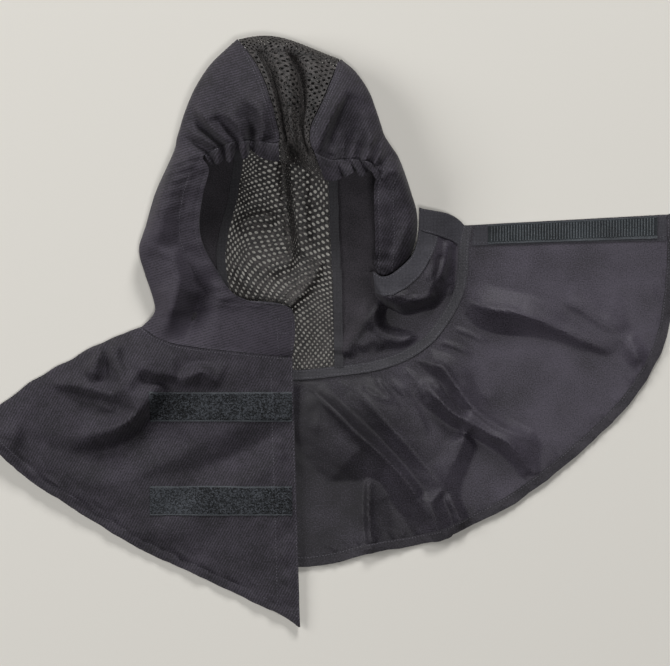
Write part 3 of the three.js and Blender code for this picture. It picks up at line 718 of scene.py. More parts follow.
@dataclass
class CapeCloth:
    """The cape's cloth: a row of its table, and millimetres outward from the neck seam."""

    # Heights of the side fold's bumps, the hem's puckers, the groove of its seam and the doubled front edge
    fold_bump: float = 1.8
    hem_pucker: float = 2.2
    hem_groove: float = 1.1
    placket: float = 0.8
    placket_pucker: float = 1.3
    # How far the hem steps out where two lengths of it meet, and is drawn in around that place
    hem_step: float = 2.2
    hem_drawn: float = 2.0

    def __post_init__(self) -> None:
        """Work out the heights of its folds."""
        self.front_folds = Relief((-352, -300, -20, 30), FRONT_RIDGES, FRONT_CREASES, (
            Swell(0.8, 60, 34, 30, 31), Swell(0.5, 26, 15, 50, 32), Swell(0.25, 12, 7, 40, 33),
        ), rounding=2.5, height=2.5)
        self.open_folds = Relief((-210, -240, 352, 125), OPEN_RIDGES, OPEN_CREASES, (
            Swell(1.0, 90, 55, -30, 41), Swell(0.8, 34, 20, -40, 42), Swell(0.3, 14, 8, -35, 43),
        ), rounding=1.2, height=1.8)

    def length(self, row: Array) -> Array:
        """Distance from neck seam to hem."""
        r = CAPE.at(row)
        return np.sqrt(sum((r[f"hem_{axis}"] - r[f"neck_{axis}"]) ** 2 for axis in "xyz"))

    def at(self, row: Array, reach: Array) -> Array:
        """Points of the cloth's middle.

        Args:
            row: Rows of the cape's table.
            reach: Millimetres from the neck seam.

        Returns:
            The points.
        """
        r = CAPE.at(row)
        share = reach / self.length(row)
        x = lerp(r["neck_x"], r["hem_x"], share)
        y = lerp(r["neck_y"], r["hem_y"], share) + 4 * r["bow"] * share * (1 - share)
        z = lerp(r["neck_z"], r["hem_z"], share)
        # The front edge settles on the back, and the side fold is bumpy
        z = z - 0.5 * np.maximum(z - 4.4, 0) * (1 - smoothstep(row, 0.2, 2.4))
        side = window(row, FOLD_ROW - 1.6, FOLD_ROW - 0.4, FOLD_ROW + 0.6, FOLD_ROW + 1.6)
        bump = self.fold_bump * rumpled(share * 8, 0 * share, 55) - 0.6
        bump = side * smoothstep(share, 0.05, 0.2) * bump
        x, y = x - 0.5 * bump, y + bump
        front = 1 - smoothstep(row, FOLD_ROW - 0.9, FOLD_ROW - 0.1)
        ground = smoothstep(row, FOLD_ROW + 3, FOLD_ROW + 4)
        off_seam = smoothstep(share, 0.0, 0.08)
        swell = np.maximum(self.open_folds.at(x, y) + 0.6, 0)
        # The stitched hem draws the edge in and up in small puckers, and the front edge is doubled
        edge = smoothstep(share, 0.9, 0.99)
        pucker = smoothstep(share, 0.84, 0.97) * self.hem_pucker * rumpled((x + y) / 7, (x - y) / 24, 51)
        pucker = pucker - self.hem_groove * np.exp(-(((reach - self.length(row) + 9) / 2.0) ** 2))
        doubled = smoothstep(x, -57, -54) * (1 - smoothstep(row, 1.5, 2.0))
        placket = doubled * (self.placket + self.placket_pucker * rumpled((x + y) / 8, (x - y) / 22, 54))
        z = z + front * (off_seam * (self.front_folds.at(x, y) + placket) + pucker)
        z = z + ground * (off_seam * swell + np.maximum(pucker, 0))
        drawn = edge * (1.2 * rumpled(x / 22, y / 22, 52) + 0.5 * rumpled(x / 11, y / 11, 53)) - 0.6 * edge
        # The hem steps outward where two lengths of it meet
        step = self.hem_step * window(x, 100, 112, 121, 125) - self.hem_drawn * window(x, 24, 60, 150, 190)
        drawn = drawn + edge * ground * step
        run_x, run_y = (r["hem_x"] - r["neck_x"]) / 250, (r["hem_y"] - r["neck_y"]) / 250
        return stacked(x + drawn * run_x, y + drawn * run_y, np.maximum(z, FLOOR))

    def share(self, row: Array, share: Array) -> Array:
        """Points at a share of the way from neck seam to hem."""
        return self.at(row, share * self.length(row))

    def seam(self, row: Array) -> Array:
        """The hood's side of the neck seam."""
        return self.at(row, np.full(np.shape(row), -SEAM_GAP))

    def front(self, x: Array, y: Array) -> Array:
        """Points of the closed front over points of the plan, found by Newton steps.

        Args:
            x: Places across the plan.
            y: Places up the plan.

        Returns:
            The points.
        """
        row = np.full(np.shape(x), 2.0)
        reach = np.full(np.shape(x), 100.0)
        step = CAPE_STEP
        for _ in range(10):
            here = self.at(row, reach)
            by_row = (self.at(row + step, reach) - here) / step
            by_reach = (self.at(row, reach + step) - here) / step
            miss_x, miss_y = x - here[..., 0], y - here[..., 1]
            area = by_row[..., 0] * by_reach[..., 1] - by_row[..., 1] * by_reach[..., 0]
            row = row + (miss_x * by_reach[..., 1] - miss_y * by_reach[..., 0]) / area
            reach = reach + (by_row[..., 0] * miss_y - by_row[..., 1] * miss_x) / area
            row = np.clip(row, 0.01, FOLD_ROW - 1.5)
        return self.at(row, reach)


@dataclass
class HoodCloth:
    """The hood's two side panels, its opened chin and its mesh, which hang on the cape's neck seam."""

    cape: CapeCloth
    # Height of the outer fold as a share of the edge's, and the roll of cloth from there to the floor
    fold_level: float = 0.5
    roll_per_height: float = 0.7
    roll_limit: float = 0.6
    roll_share: float = 0.35
    # Place along the right mesh seam where it passes from the side panel to the chin
    seam_turn: float = 2.62
    net_bulge: float = 10.0
    net_lean: float = 0.5
    # Millimetres by which the crown sags, the chin's front edge bows and a casing puffs up
    crown_drop: float = 3.5
    chin_bow: float = 34.0
    casing_puff: float = 2.4
    # Share of a lengthwise fold's width that it takes up, and the stretch over which it sets in
    fold_take: float = 0.6
    fold_ends: float = 0.3
    # Pleats of the mesh inside: where along it they begin and end, where across it, spread and share taken up
    pleats: tuple[tuple[float, ...], ...] = (
        (2.16, 2.7, 0.46, 0.63, 0.032, 0.3), (2.1, 2.8, 0.02, 0.06, 0.12, 0.22),
        (2.12, 2.5, 0.86, 0.9, 0.05, 0.12),
    )

    def __post_init__(self) -> None:
        """Work out the heights of its folds."""
        self.left_folds = Relief((-195, -45, -30, 300), LEFT_RIDGES, LEFT_CREASES, (
            Swell(0.9, 46, 26, 60, 61), Swell(0.6, 20, 11, 20, 62), Swell(0.3, 9, 5, 10, 63),
        ), rounding=1.8, height=1.85)
        self.right_folds = Relief((-25, 40, 100, 280), RIGHT_RIDGES, RIGHT_CREASES, (
            Swell(0.8, 36, 22, 100, 71), Swell(0.5, 16, 10, 80, 72),
        ))
        self.chin_folds = Relief((0, -45, 145, 130), (), CHIN_CREASES, (
            Swell(1.0, 30, 18, 60, 81), Swell(0.4, 14, 9, 40, 82),
        ))
        self.net_folds = Relief((-115, -50, 20, 300), (), NET_CREASES, (Swell(1.0, 44, 24, 80, 91),))

    def rib(self, r: dict[str, Array], share: Array) -> Array:
        """One rib, from its inner edge (0) over the outer fold (0.5) to the back seam (1).

        Args:
            r: The rib's table row.
            share: Places along the rib.

        Returns:
            The points.
        """
        fold_z = lerp(FLOOR, r["edge_z"], self.fold_level)
        turn = (math.pi / 2) * np.clip(1 - 2 * share, 0, 1)
        inward = 1 - np.cos(turn)
        top = stacked(
            lerp(r["fold_x"], r["edge_x"], inward),
            lerp(r["fold_y"], r["edge_y"], inward),
            lerp(fold_z, r["edge_z"], np.sin(turn)),
        )
        run_x, run_y = r["back_x"] - r["fold_x"], r["back_y"] - r["fold_y"]
        span = np.hypot(run_x, run_y)
        roll = np.minimum(self.roll_per_height * fold_z, self.roll_limit * span)
        under = np.clip(2 * share - 1, 0, None)
        bend = (math.pi / 2) * np.minimum(under / self.roll_share, 1)
        flat = np.maximum(under - self.roll_share, 0) / (1 - self.roll_share)
        run = (roll * (1 - np.cos(bend)) + (span - roll) * flat) / span
        low = stacked(r["fold_x"] + run_x * run, r["fold_y"] + run_y * run, lerp(fold_z, FLOOR, np.sin(bend)))
        return np.where((share <= 0.5)[..., None], top, low)

    def rib_width(self, r: dict[str, Array]) -> Array:
        """Distance in plan from a rib's inner edge to its outer fold."""
        return np.hypot(r["edge_x"] - r["fold_x"], r["edge_y"] - r["fold_y"])

    def share_at(self, ribs: Table, row: Array, distance: float) -> Array:
        """Share of a rib that lies some millimetres from its inner edge."""
        width = self.rib_width(ribs.at(row))
        return np.arcsin(np.minimum(distance / width, 1)) / math.pi

    def left(self, row: Array, share: Array) -> Array:
        """Points of the left side panel.

        Args:
            row: Rows of its table.
            share: Places along the rib.

        Returns:
            The points.
        """
        row, share = np.broadcast_arrays(np.asarray(row, float), np.asarray(share, float))
        point = self.rib(LEFT.at(row), share)
        x, y = point[..., 0], point[..., 1]
        on_top = 1 - smoothstep(share, 0.3, 0.45)
        settled = self.left_folds.at(x, y) - self.crown_drop * smoothstep(y, 150, 185)
        point[..., 2] += on_top * (settled + self.seam_grooves(LEFT.at(row), row, share))
        neck_row = np.where(share <= 0.5, 2 * share * FOLD_ROW, lerp(FOLD_ROW, NAPE_LEFT_ROW, 2 * share - 1))
        to_neck = np.clip(row - LEFT_LAST_ROW + 1, 0, None)[..., None]
        return lerp(point, self.cape.seam(neck_row), to_neck)

    def right(self, row: Array, share: Array) -> Array:
        """Points of the right side panel.

        Args:
            row: Rows of its table.
            share: Places along the rib.

        Returns:
            The points.
        """
        row, share = np.broadcast_arrays(np.asarray(row, float), np.asarray(share, float))
        # The underside stops a row short, where the opened chin begins
        r = RIGHT.at(row * (1 - smoothstep(share, 0.72, 0.9) / RIGHT_LAST_ROW))
        point = self.rib(r, share)
        x, y = point[..., 0], point[..., 1]
        on_top = 1 - smoothstep(share, 0.32, 0.46)
        settled = self.right_folds.at(x, y) - self.crown_drop * smoothstep(y, 150, 185)
        point[..., 2] += on_top * (settled + self.seam_grooves(r, row, share))
        return point

    def seam_grooves(self, r: dict[str, Array], row: Array, share: Array) -> Array:
        """Depth of the grooves that the stitches of a face edge pull into the cloth.

        Args:
            r: The ribs' table rows.
            row: Their numbers.
            share: Places along the ribs.

        Returns:
            The depth at each place.
        """
        inward = self.rib_width(r) * np.sin(math.pi * share)
        on_face = smoothstep(row, FACE_ROW - 0.3, FACE_ROW + 0.3)
        band = 0.7 * (1 - smoothstep(inward, FACING_WIDTH - 1.5, FACING_WIDTH + 1.0))
        waves = 1.5 * rumpled(row * 1.7, inward / 26, 64)
        waves = waves * (1 - smoothstep(inward, FACING_WIDTH - 2, FACING_WIDTH + 6))
        return on_face * (band + waves - 0.7 * np.exp(-(((inward - 4) / 1.6) ** 2)))

    def chin(self, row: Array, share: Array) -> Array:
        """Points of the opened chin, from the face edge (0) to the neck seam (1).

        Args:
            row: Rows of its table.
            share: Places from edge to seam.

        Returns:
            The points.
        """
        row, share = np.broadcast_arrays(np.asarray(row, float), np.asarray(share, float))
        r = CHIN.at(row)
        seam = self.cape.seam(r["neck"])
        x = lerp(r["edge_x"], seam[..., 0], share)
        y = lerp(r["edge_y"], seam[..., 1], share)
        # The front edge is cut to a curve
        y = y + self.chin_bow * share**2 * (1 - share) * smoothstep(row, CHIN_ROW - 0.6, CHIN_LAST_ROW)
        z = lerp(r["edge_z"], FLOOR, smoothstep(share, r["shelf"], r["foot"]))
        z = z + window(share, 0.02, 0.2, 0.85, 1.0) * self.chin_folds.at(x, y)
        tucked = 0.12 * (1 - smoothstep(share, 0.0, 0.05)) * (1 - smoothstep(row, 1.5, 2.2))
        return stacked(x, y, np.maximum(z, FLOOR) - tucked)

    def chin_length(self, row: Array) -> Array:
        """Distance in plan from the face edge of the chin to the neck seam.

        Args:
            row: Rows of the chin's table.

        Returns:
            The distance at each row.
        """
        r = CHIN.at(row)
        seam = self.cape.seam(r["neck"])
        return np.hypot(seam[..., 0] - r["edge_x"], seam[..., 1] - r["edge_y"])

    def panel(self, side: Side) -> tuple[Surface, Table]:
        """A side's panel and the line of its brow casing."""
        return (self.left, LEFT_BROW) if side is Side.LEFT else (self.right, RIGHT_BROW)

    def mesh_seam(self, along: Array, side: Side) -> Array:
        """A seam that holds the mesh: brow (-0.5 to 0), to the crown (1), round it (2), down the back (3).

        Args:
            along: Places along the seam.
            side: Its side.

        Returns:
            The points.
        """
        panel, brow = self.panel(side)
        zero = np.zeros(np.shape(along))
        lip = np.broadcast_to(brow.values[0], np.shape(along) + (3,))
        at_brow = lerp(panel(zero + BROW_ROW, zero), lip, np.clip(-2 * along, 0, None)[..., None])
        over = panel(BROW_ROW * np.clip(1 - along, 0, 1), zero)
        crown = panel(zero, np.clip(along - 1, 0, 1))
        if side is Side.LEFT:
            back = panel(np.clip(along - 2, 0, None) * LEFT_LAST_ROW, zero + 1)
        else:
            turn = np.clip((along - 2) / (self.seam_turn - 2), 0, 1)
            chin = self.chin(zero, np.clip((along - self.seam_turn) / (3 - self.seam_turn), 0, None))
            on_panel = (along <= self.seam_turn)[..., None]
            back = np.where(on_panel, panel(turn * RIGHT_LAST_ROW, zero + 1), chin)
        picks = [(along < 0)[..., None], (along <= 1)[..., None], (along <= 2)[..., None]]
        return np.select(picks, [at_brow, over, crown], back)

    def net(self, along: Array, across: Array) -> Array:
        """Points of the mesh panel between its seams.

        Args:
            along: Places along the seams.
            across: Shares of the way from the left seam to the right.

        Returns:
            The points.
        """
        along, across = np.broadcast_arrays(np.asarray(along, float), np.asarray(across, float))
        step = 0.01

        def middle(at: Array) -> Array:
            """Middle line of the mesh."""
            return (self.mesh_seam(at, Side.LEFT) + self.mesh_seam(at, Side.RIGHT)) / 2

        left, right = (self.mesh_seam(along, side) for side in Side)
        width = np.linalg.norm(right - left, axis=-1)
        inset = (SEAM_GAP + TWILL / 2) / width
        sewn_in = lerp(inset, 1 - inset, across)
        point = lerp(left, right, sewn_in[..., None])
        forward = middle(along + step) - middle(along - step)
        outward = np.cross(right - left, forward)
        outward /= np.linalg.norm(outward, axis=-1, keepdims=True)
        round_off = np.sin(math.pi * (across + self.net_lean * across * (1 - across)))
        lift = self.net_bulge * round_off * window(along, 0.2, 1.2, 1.5, 2.1)
        for low_line, high_line, begin, end, depth, spread in NET_FOLDS.values:
            line = lerp(low_line, high_line, np.clip(along, 0, 1))
            ends = window(along, begin, begin + self.fold_ends, end - self.fold_ends, end)
            lift = lift + depth * ends * round_off * np.exp(-(((across - line) / spread) ** 2))
        point = point + outward * lift[..., None]
        inside = smoothstep(along, 2.15, 2.3)
        point[..., 2] += inside * round_off**0.5 * self.net_rise(point[..., 0], point[..., 1])
        nape = self.cape.seam(lerp(NAPE_LEFT_ROW, NAPE_RIGHT_ROW, sewn_in))
        point = lerp(point, nape, smoothstep(along, 2.8, 3.0)[..., None])
        # The end runs on under the neck tape
        point[..., 1] -= 5.0 * smoothstep(along, 2.9, 3.0)
        point[..., 2] = np.maximum(point[..., 2], NET / 2 + 0.1)
        return point

    def pulls(self, along: Array) -> list[tuple[Array, Array, float]]:
        """Where the mesh's long folds and its pleats take up cloth.

        Args:
            along: Places along the mesh.

        Returns:
            The place across, the share of the width taken up, and the spread of each.
        """
        found = []
        for low_line, high_line, begin, end, _, spread in NET_FOLDS.values[:2]:
            taken = self.fold_take * window(along, begin, begin + self.fold_ends, end - self.fold_ends, end)
            found.append((lerp(low_line, high_line, np.clip(along, 0, 1)), taken, spread))
        for begin, end, low_line, high_line, spread, share in self.pleats:
            taken = share * window(along, begin, begin + 0.1, end - 0.15, end)
            found.append((lerp(low_line, high_line, smoothstep(along, begin, end)), taken, spread))
        return found

    def gathered(self, along: Array, share: Array) -> Array:
        """Place across the mesh of a share of its flat width, much of which the folds take up, by halving.

        Args:
            along: Places along the mesh.
            share: Shares of the flat width.

        Returns:
            The places across.
        """
        low, high = np.zeros(np.shape(share)), np.ones(np.shape(share))
        pulls = self.pulls(along)
        total = 1 + sum(taken for _, taken, _ in pulls)
        for _ in range(24):
            middle = (low + high) / 2
            used = middle.copy()
            for line, taken, spread in pulls:
                used += taken * smoothstep(middle, line - 1.6 * spread, line + 1.6 * spread)
            below = used / total < share
            low, high = np.where(below, middle, low), np.where(below, high, middle)
        return (low + high) / 2

    def net_rise(self, x: Array, y: Array) -> Array:
        """Height of the mesh over the floor inside the hood."""
        return np.maximum(self.net_folds.at(x, y) + 0.5, 0)

    def casing(self, side: Side, along: Array, down: Array) -> Array:
        """Points of a brow casing.

        Args:
            side: Its side.
            along: Share of the way from the mesh to the face edge.
            down: Share of the way from the stitched line to the ruffled edge.

        Returns:
            The points.
        """
        panel, brow = self.panel(side)
        zero = np.zeros(np.shape(along))
        rows = FACE_ROW - BROW_ROW - 0.05
        upper = panel(BROW_ROW + rows * along, zero)
        ends = panel(BROW_ROW + np.array([0.0, rows]), np.zeros(2))[:, 0]
        marks = np.linspace(0, 1, 300)
        line = brow.share(marks)
        way = (line["x"] - line["x"][0]) / (line["x"][-1] - line["x"][0])
        r = brow.share(np.interp((upper[..., 0] - ends[0]) / (ends[1] - ends[0]), way, marks))
        point = lerp(upper, stacked(r["x"], r["y"], r["z"]), down[..., None])
        puff = self.casing_puff * np.sin(math.pi * np.clip(down, 0, 1))
        point[..., 2] += puff - 0.9 * (1 - smoothstep(down, 0.0, 0.2))
        return point


def normals(surface: Surface, u: Array, v: Array, step: float = 1e-3) -> Array:
    """Unit normals of a surface.

    Args:
        surface: The surface.
        u: First places.
        v: Second places.
        step: Change of each place over which the slope is taken.

    Returns:
        The normals, which point up the right-handed way from u to v.
    """
    by_u = surface(u + step, v) - surface(u - step, v)
    by_v = surface(u, v + step) - surface(u, v - step)
    normal = np.cross(by_u, by_v)
    return normal / np.maximum(np.linalg.norm(normal, axis=-1, keepdims=True), 1e-12)


def lifted(surface: Surface, lift: float, step: float = 1e-3) -> Surface:
    """A surface raised along its normals by a number of millimetres."""
    return lambda u, v: surface(u, v) + lift * normals(surface, u, v, step)


def linear(colour: str) -> tuple[float, float, float, float]:
    """Linear RGBA of a six-digit sRGB hex colour."""
    parts = [int(colour[i:i + 2], 16) / 255 for i in (0, 2, 4)]
    return (*(c / 12.92 if c <= 0.04045 else ((c + 0.055) / 1.055) ** 2.4 for c in parts), 1.0)


def add_node(
    tree: Tree, kind: str, links: dict[str | int, Socket] | None = None,
    values: dict[str | int, object] | None = None, **settings: object,
) -> bpy.types.Node:
    """Add a node to a material.

    Args:
        tree: The material's tree.
        kind: Blender's name of the node.
        links: Sockets of other nodes that feed its inputs.
        values: Constants of its inputs.
        settings: Its own settings.

    Returns:
        The node.
    """
    made = tree.nodes.new(kind)
    for name, value in settings.items():
        setattr(made, name, value)
    for name, value in (values or {}).items():
        made.inputs[name].default_value = value
    for name, socket in (links or {}).items():
        tree.links.new(socket, made.inputs[name])
    return made


# Wave Texture repeats every pi / 10 of its own units
WAVE_PERIOD = math.pi / 10
# How much more the grain shows than the mottling, and how deep both are embossed
GRAIN_WEIGHT = 1.8
EMBOSS = 0.6
# Sums of grain and mottling, and of a pattern with them, that get the dark and the light colour
PLAIN_SHADES = (1.14, 1.69)
PATTERN_SHADES = (1.32, 2.18)


@dataclass(frozen=True)
class PaintedShading:
    """Painted light or shade: slow paling along one axis of the flat map."""

    axis: Axis
    from_mm: float
    to_mm: float
    amount: float

    def shade(self, tree: Tree, place: Socket) -> Socket:
        """What the painted light or shade adds to the shade.

        Args:
            tree: The material's tree.
            place: Places of the flat map.

        Returns:
            The addition.
        """
        along = add_node(tree, "ShaderNodeSeparateXYZ", {"Vector": place}).outputs[self.axis.value]
        ends = {"From Min": self.from_mm * MM, "From Max": self.to_mm * MM, "To Max": self.amount}
        return add_node(tree, "ShaderNodeMapRange", {"Value": along}, ends).outputs["Result"]


@dataclass(frozen=True)
class Finish:
    """A finish of the garment. Its pattern reads the piece's own flat map, in metres."""

    name: str
    dark: str
    light: str
    roughness: float = 0.9
    sheen: float = 0.0
    ior: float = 1.5
    mottle_mm: float = 40.0
    grain_mm: float = 1.6
    grain_depth_mm: float = 0.12
    # Painted light or shade along the flat map, if any
    fade: PaintedShading | None = None

    def pattern(self, tree: Tree, place: Socket) -> Socket | None:
        """A finish's own raised pattern, 0 to 1, or none."""
        return None

    def build(self) -> bpy.types.Material:
        """Make the material.

        Returns:
            The material.
        """
        material = bpy.data.materials.new(self.name)
        material.use_nodes = True
        tree = material.node_tree
        shader = tree.nodes["Principled BSDF"]
        shader.inputs["Roughness"].default_value = self.roughness
        shader.inputs["IOR"].default_value = self.ior
        shader.inputs["Sheen Weight"].default_value = self.sheen
        place = add_node(tree, "ShaderNodeUVMap", uv_map="flat").outputs["UV"]
        mottle = add_node(tree, "ShaderNodeTexNoise", {"Vector": place},
                          {"Scale": 1 / (self.mottle_mm * MM), "Detail": 3.0, "Roughness": 0.55})
        grain = add_node(tree, "ShaderNodeTexNoise", {"Vector": place},
                         {"Scale": 1 / (self.grain_mm * MM), "Detail": 2.0, "Roughness": 0.6})
        height = grain.outputs["Fac"]
        total = add_node(tree, "ShaderNodeMath", {0: height, 2: mottle.outputs["Fac"]}, {1: GRAIN_WEIGHT},
                         operation="MULTIPLY_ADD").outputs["Value"]
        # The pattern and any painted light or shade both raise the shade
        found = (self.pattern(tree, place), self.fade and self.fade.shade(tree, place))
        parts = [part for part in found if part is not None]
        low, high = PATTERN_SHADES if parts else PLAIN_SHADES
        for part in parts:
            total, height = (
                add_node(tree, "ShaderNodeMath", {0: under, 1: part}, operation="ADD").outputs["Value"]
                for under in (total, height)
            )
        shade = add_node(tree, "ShaderNodeMapRange", {"Value": total}, {"From Min": low, "From Max": high})
        colour = add_node(tree, "ShaderNodeMix", {"Factor": shade.outputs["Result"]},
                          {6: linear(self.dark), 7: linear(self.light)}, data_type="RGBA")
        bump = add_node(tree, "ShaderNodeBump", {"Height": height},
                        {"Strength": EMBOSS, "Distance": self.grain_depth_mm * MM})
        tree.links.new(colour.outputs[2], shader.inputs["Base Color"])
        tree.links.new(bump.outputs["Normal"], shader.inputs["Normal"])
        return material


@dataclass(frozen=True)
class TwillFinish(Finish):
    """Woven cotton twill: matt, with slanting ribs that catch the light."""

    # Real ribs are about 0.7 mm apart; they are drawn as coarse as the picture can show
    rib_mm: float = 2.6
    slant_deg: float = 62.0
    rubbed_mm: float = 7.0

    def pattern(self, tree: Tree, place: Socket) -> Socket:
        """Slanting ribs.

        Args:
            tree: The material's tree.
            place: Places of the flat map.

        Returns:
            The pattern.
        """
        turned = add_node(tree, "ShaderNodeMapping", {"Vector": place},
                          {"Rotation": (0.0, 0.0, math.radians(90 - self.slant_deg))})
        ribs = add_node(tree, "ShaderNodeTexWave", {"Vector": turned.outputs["Vector"]},
                        {"Scale": WAVE_PERIOD / (self.rib_mm * MM), "Distortion": 2.0, "Detail": 2.0,
                         "Detail Scale": 1.2})
        rubbed = add_node(tree, "ShaderNodeTexNoise", {"Vector": place},
                          {"Scale": 1 / (self.rubbed_mm * MM), "Detail": 2.0})
        return add_node(tree, "ShaderNodeMath", {0: ribs.outputs["Fac"], 1: rubbed.outputs["Fac"]},
                        operation="MULTIPLY").outputs["Value"]


@dataclass(frozen=True)
class PlainWeaveFinish(Finish):
    """Plain-woven tape or facing: crossing threads, a little lighter than the twill."""

    # Real threads are about 0.5 mm apart, drawn coarser so that they show
    thread_mm: float = 1.4

    def pattern(self, tree: Tree, place: Socket) -> Socket:
        """Threads that cross at right angles.

        Args:
            tree: The material's tree.
            place: Places of the flat map.

        Returns:
            The pattern.
        """
        scale = WAVE_PERIOD / (self.thread_mm * MM)
        warp = add_node(tree, "ShaderNodeTexWave", {"Vector": place}, {"Scale": scale, "Distortion": 0.4})
        weft = add_node(tree, "ShaderNodeTexWave", {"Vector": place}, {"Scale": scale, "Distortion": 0.4},
                        bands_direction="Y")
        return add_node(tree, "ShaderNodeMath", {0: warp.outputs["Fac"], 1: weft.outputs["Fac"]},
                        operation="MULTIPLY").outputs["Value"]


@dataclass(frozen=True)
class LoopFinish(Finish):
    """Loops of yarn, of a pile or a knit: a dark fuzz in which each loop is painted lighter or darker, as
    painted glints of the light it catches.
    """

    # Real loops are well under a millimetre across, drawn as coarse as the picture can show
    loop_mm: float = 1.2

    def pattern(self, tree: Tree, place: Socket) -> Socket:
        """Loops of uneven brightness: painted glints.

        Args:
            tree: The material's tree.
            place: Places of the flat map.

        Returns:
            The pattern.
        """
        loops = add_node(tree, "ShaderNodeTexVoronoi", {"Vector": place}, {"Scale": 1 / (self.loop_mm * MM)})
        tone = add_node(tree, "ShaderNodeSeparateColor", {"Color": loops.outputs["Color"]}).outputs["Red"]
        return add_node(tree, "ShaderNodeMath", {0: tone}, {1: 2.0}, operation="POWER").outputs["Value"]


# Dense twill dyed nearly black: dull, with a violet cast where light grazes its ribs
TWILL_OUTSIDE = TwillFinish("cotton_twill_outside", "131116", "3b3640", 0.74, 0.06, 1.4)
# The same twill, painted paler round the cheek and jaw than over the crown: painted light
CHEEK_TWILL = replace(TWILL_OUTSIDE, name="cotton_twill_painted_light", fade=PaintedShading(Axis.ALONG, 60, -50, 0.32))
# Its brushed back: no ribs show and folds get a soft gleam; its colour is painted darker toward the closed
# front and paler toward the open front, as painted shade
TWILL_BACK = Finish("cotton_twill_back", "110e14", "47424d", 0.58, 0.05, 1.39, 55, 1.3, 0.12,
                    PaintedShading(Axis.ACROSS, 30, 210, 0.45))
# The back inside the hood, painted darker than the brushed back as painted shade, and the back on the pressed
# hem: flat and dull
SHADED_HOOD_BACK = Finish("cotton_twill_back_painted_shade", "151217", "332f35", 0.75, 0.04, 1.38, 30, 1.3, 0.12)
HEM_BACK = Finish("turned_hem_twill", "1d1b1f", "38353b", 0.75, 0.05, 1.38, 30, 1.5, 0.12)
# Plain-woven cotton strips: an even grey-black with a fine grid
FACING_WEAVE = PlainWeaveFinish("plain_woven_facing", "2b2a2f", "424147", 0.8, 0.05, 1.38)
TAPE_WEAVE = PlainWeaveFinish("woven_cotton_tape", "2b2a2e", "4a494d", 0.8, 0.05, 1.38)
# The seam tapes inside the hood are painted darker than the neck tape, as painted shade
SHADED_SEAM_TAPE_WEAVE = PlainWeaveFinish("woven_seam_tape_painted_shade", "212023", "3c3b3f", 0.8, 0.05, 1.38)
# Knitted filament yarn: black, with painted glints at its turns
NET_YARN = LoopFinish("knitted_polyester_net", "070707", "433f3e", 0.62, 0.0, 1.42, 20, 1.2, 0.15,
                      loop_mm=1.1)
# Brushed loops: a deep, dusty black, with painted glints speckled where loops stand up
LOOP_YARN = LoopFinish("nylon_loop_pile", "020304", "3d4045", 0.85, 0.0, 1.35, 60, 1.2, 0.3)
# Woven nylon: smoother than cotton and a little blue; a darker copy under the hooks is painted shade
SELVEDGE = Finish("woven_nylon_selvedge", "2f3236", "484c50", 0.7, 0.0, 1.4, 30, 1.2, 0.1)
SHADED_HOOK_GROUND = Finish("woven_nylon_painted_shade_under_hooks", "15191b", "272c30", 0.8, 0.0, 1.4, 30, 1.2, 0.1)
# Moulded nylon: hard, with small highlights
HOOK_NYLON = Finish("moulded_nylon_hooks", "1d2226", "444b50", 0.5, 0.0, 1.45, 60, 1.5, 0.15)
# Spun thread: smooth and paler than the cloth
THREAD = Finish("polyester_thread", "3a383f", "5c5a61", 0.7, 0.0, 1.4, 6, 1.2, 0.1)


def deselect() -> None:
    """Clear the selection, so that an operator acts on the new piece alone."""
    if bpy.context.mode != "OBJECT":
        bpy.ops.object.mode_set(mode="OBJECT")
    bpy.ops.object.select_all(action="DESELECT")


def pick(piece: Piece) -> None:
    """Select a piece alone and make it active.

    Args:
        piece: The piece.
    """
    deselect()
    piece.select_set(True)
    bpy.context.view_layer.objects.active = piece


def join(into: Piece, other: Piece) -> None:
    """Join two pieces.

    Args:
        into: The piece that stays.
        other: The piece that becomes part of it.
    """
    pick(into)
    other.select_set(True)
    bpy.ops.object.join()


def edit(operator: Callable[..., set[str]], **settings: object) -> None:
    """Run an operator on the whole of the active mesh, in edit mode.

    Args:
        operator: The operator.
        settings: What it is told.
    """
    bpy.ops.object.mode_set(mode="EDIT")
    bpy.ops.mesh.select_all(action="SELECT")
    operator(**settings)
    bpy.ops.object.mode_set(mode="OBJECT")


def named(name: str) -> Piece:
    """The active object, with its mesh under the same new name."""
    bpy.context.object.name = bpy.context.object.data.name = name
    return bpy.context.object


def vertices(mesh: bpy.types.Mesh) -> Array:
    """The vertices' places.

    Args:
        mesh: The mesh.

    Returns:
        One row of three numbers for each vertex.
    """
    flat = np.empty(3 * len(mesh.vertices))
    mesh.vertices.foreach_get("co", flat)
    return flat.reshape(-1, 3)


def move_vertices(mesh: bpy.types.Mesh, points_mm: Array) -> None:
    """Put the vertices at plan places in millimetres."""
    mesh.vertices.foreach_set("co", ((points_mm + PLAN_SHIFT) * MM).ravel())
    mesh.update()


def map_flat(mesh: bpy.types.Mesh, flat_mm: Array) -> None:
    """Give the mesh its flat map, in metres.

    Args:
        mesh: The mesh.
        flat_mm: One flat place for each vertex, in millimetres.
    """
    if "flat" not in mesh.uv_layers:
        mesh.uv_layers.new(name="flat")
    for other in [extra for extra in mesh.uv_layers if extra.name != "flat"]:
        mesh.uv_layers.remove(other)
    corners = np.empty(len(mesh.loops), dtype=np.int32)
    mesh.loops.foreach_get("vertex_index", corners)
    mesh.uv_layers["flat"].data.foreach_set("uv", (flat_mm[corners, :2] * MM).astype(np.float32).ravel())


def apply_modifier(piece: Piece, kind: str, **settings: object) -> None:
    """Add a modifier and apply it.

    Args:
        piece: The piece.
        kind: Blender's name of the modifier.
        settings: The modifier's settings.
    """
    bpy.context.view_layer.objects.active = piece
    made = piece.modifiers.new(kind.title(), kind)
    for name, value in settings.items():
        setattr(made, name, value)
    bpy.ops.object.modifier_apply(modifier=made.name)


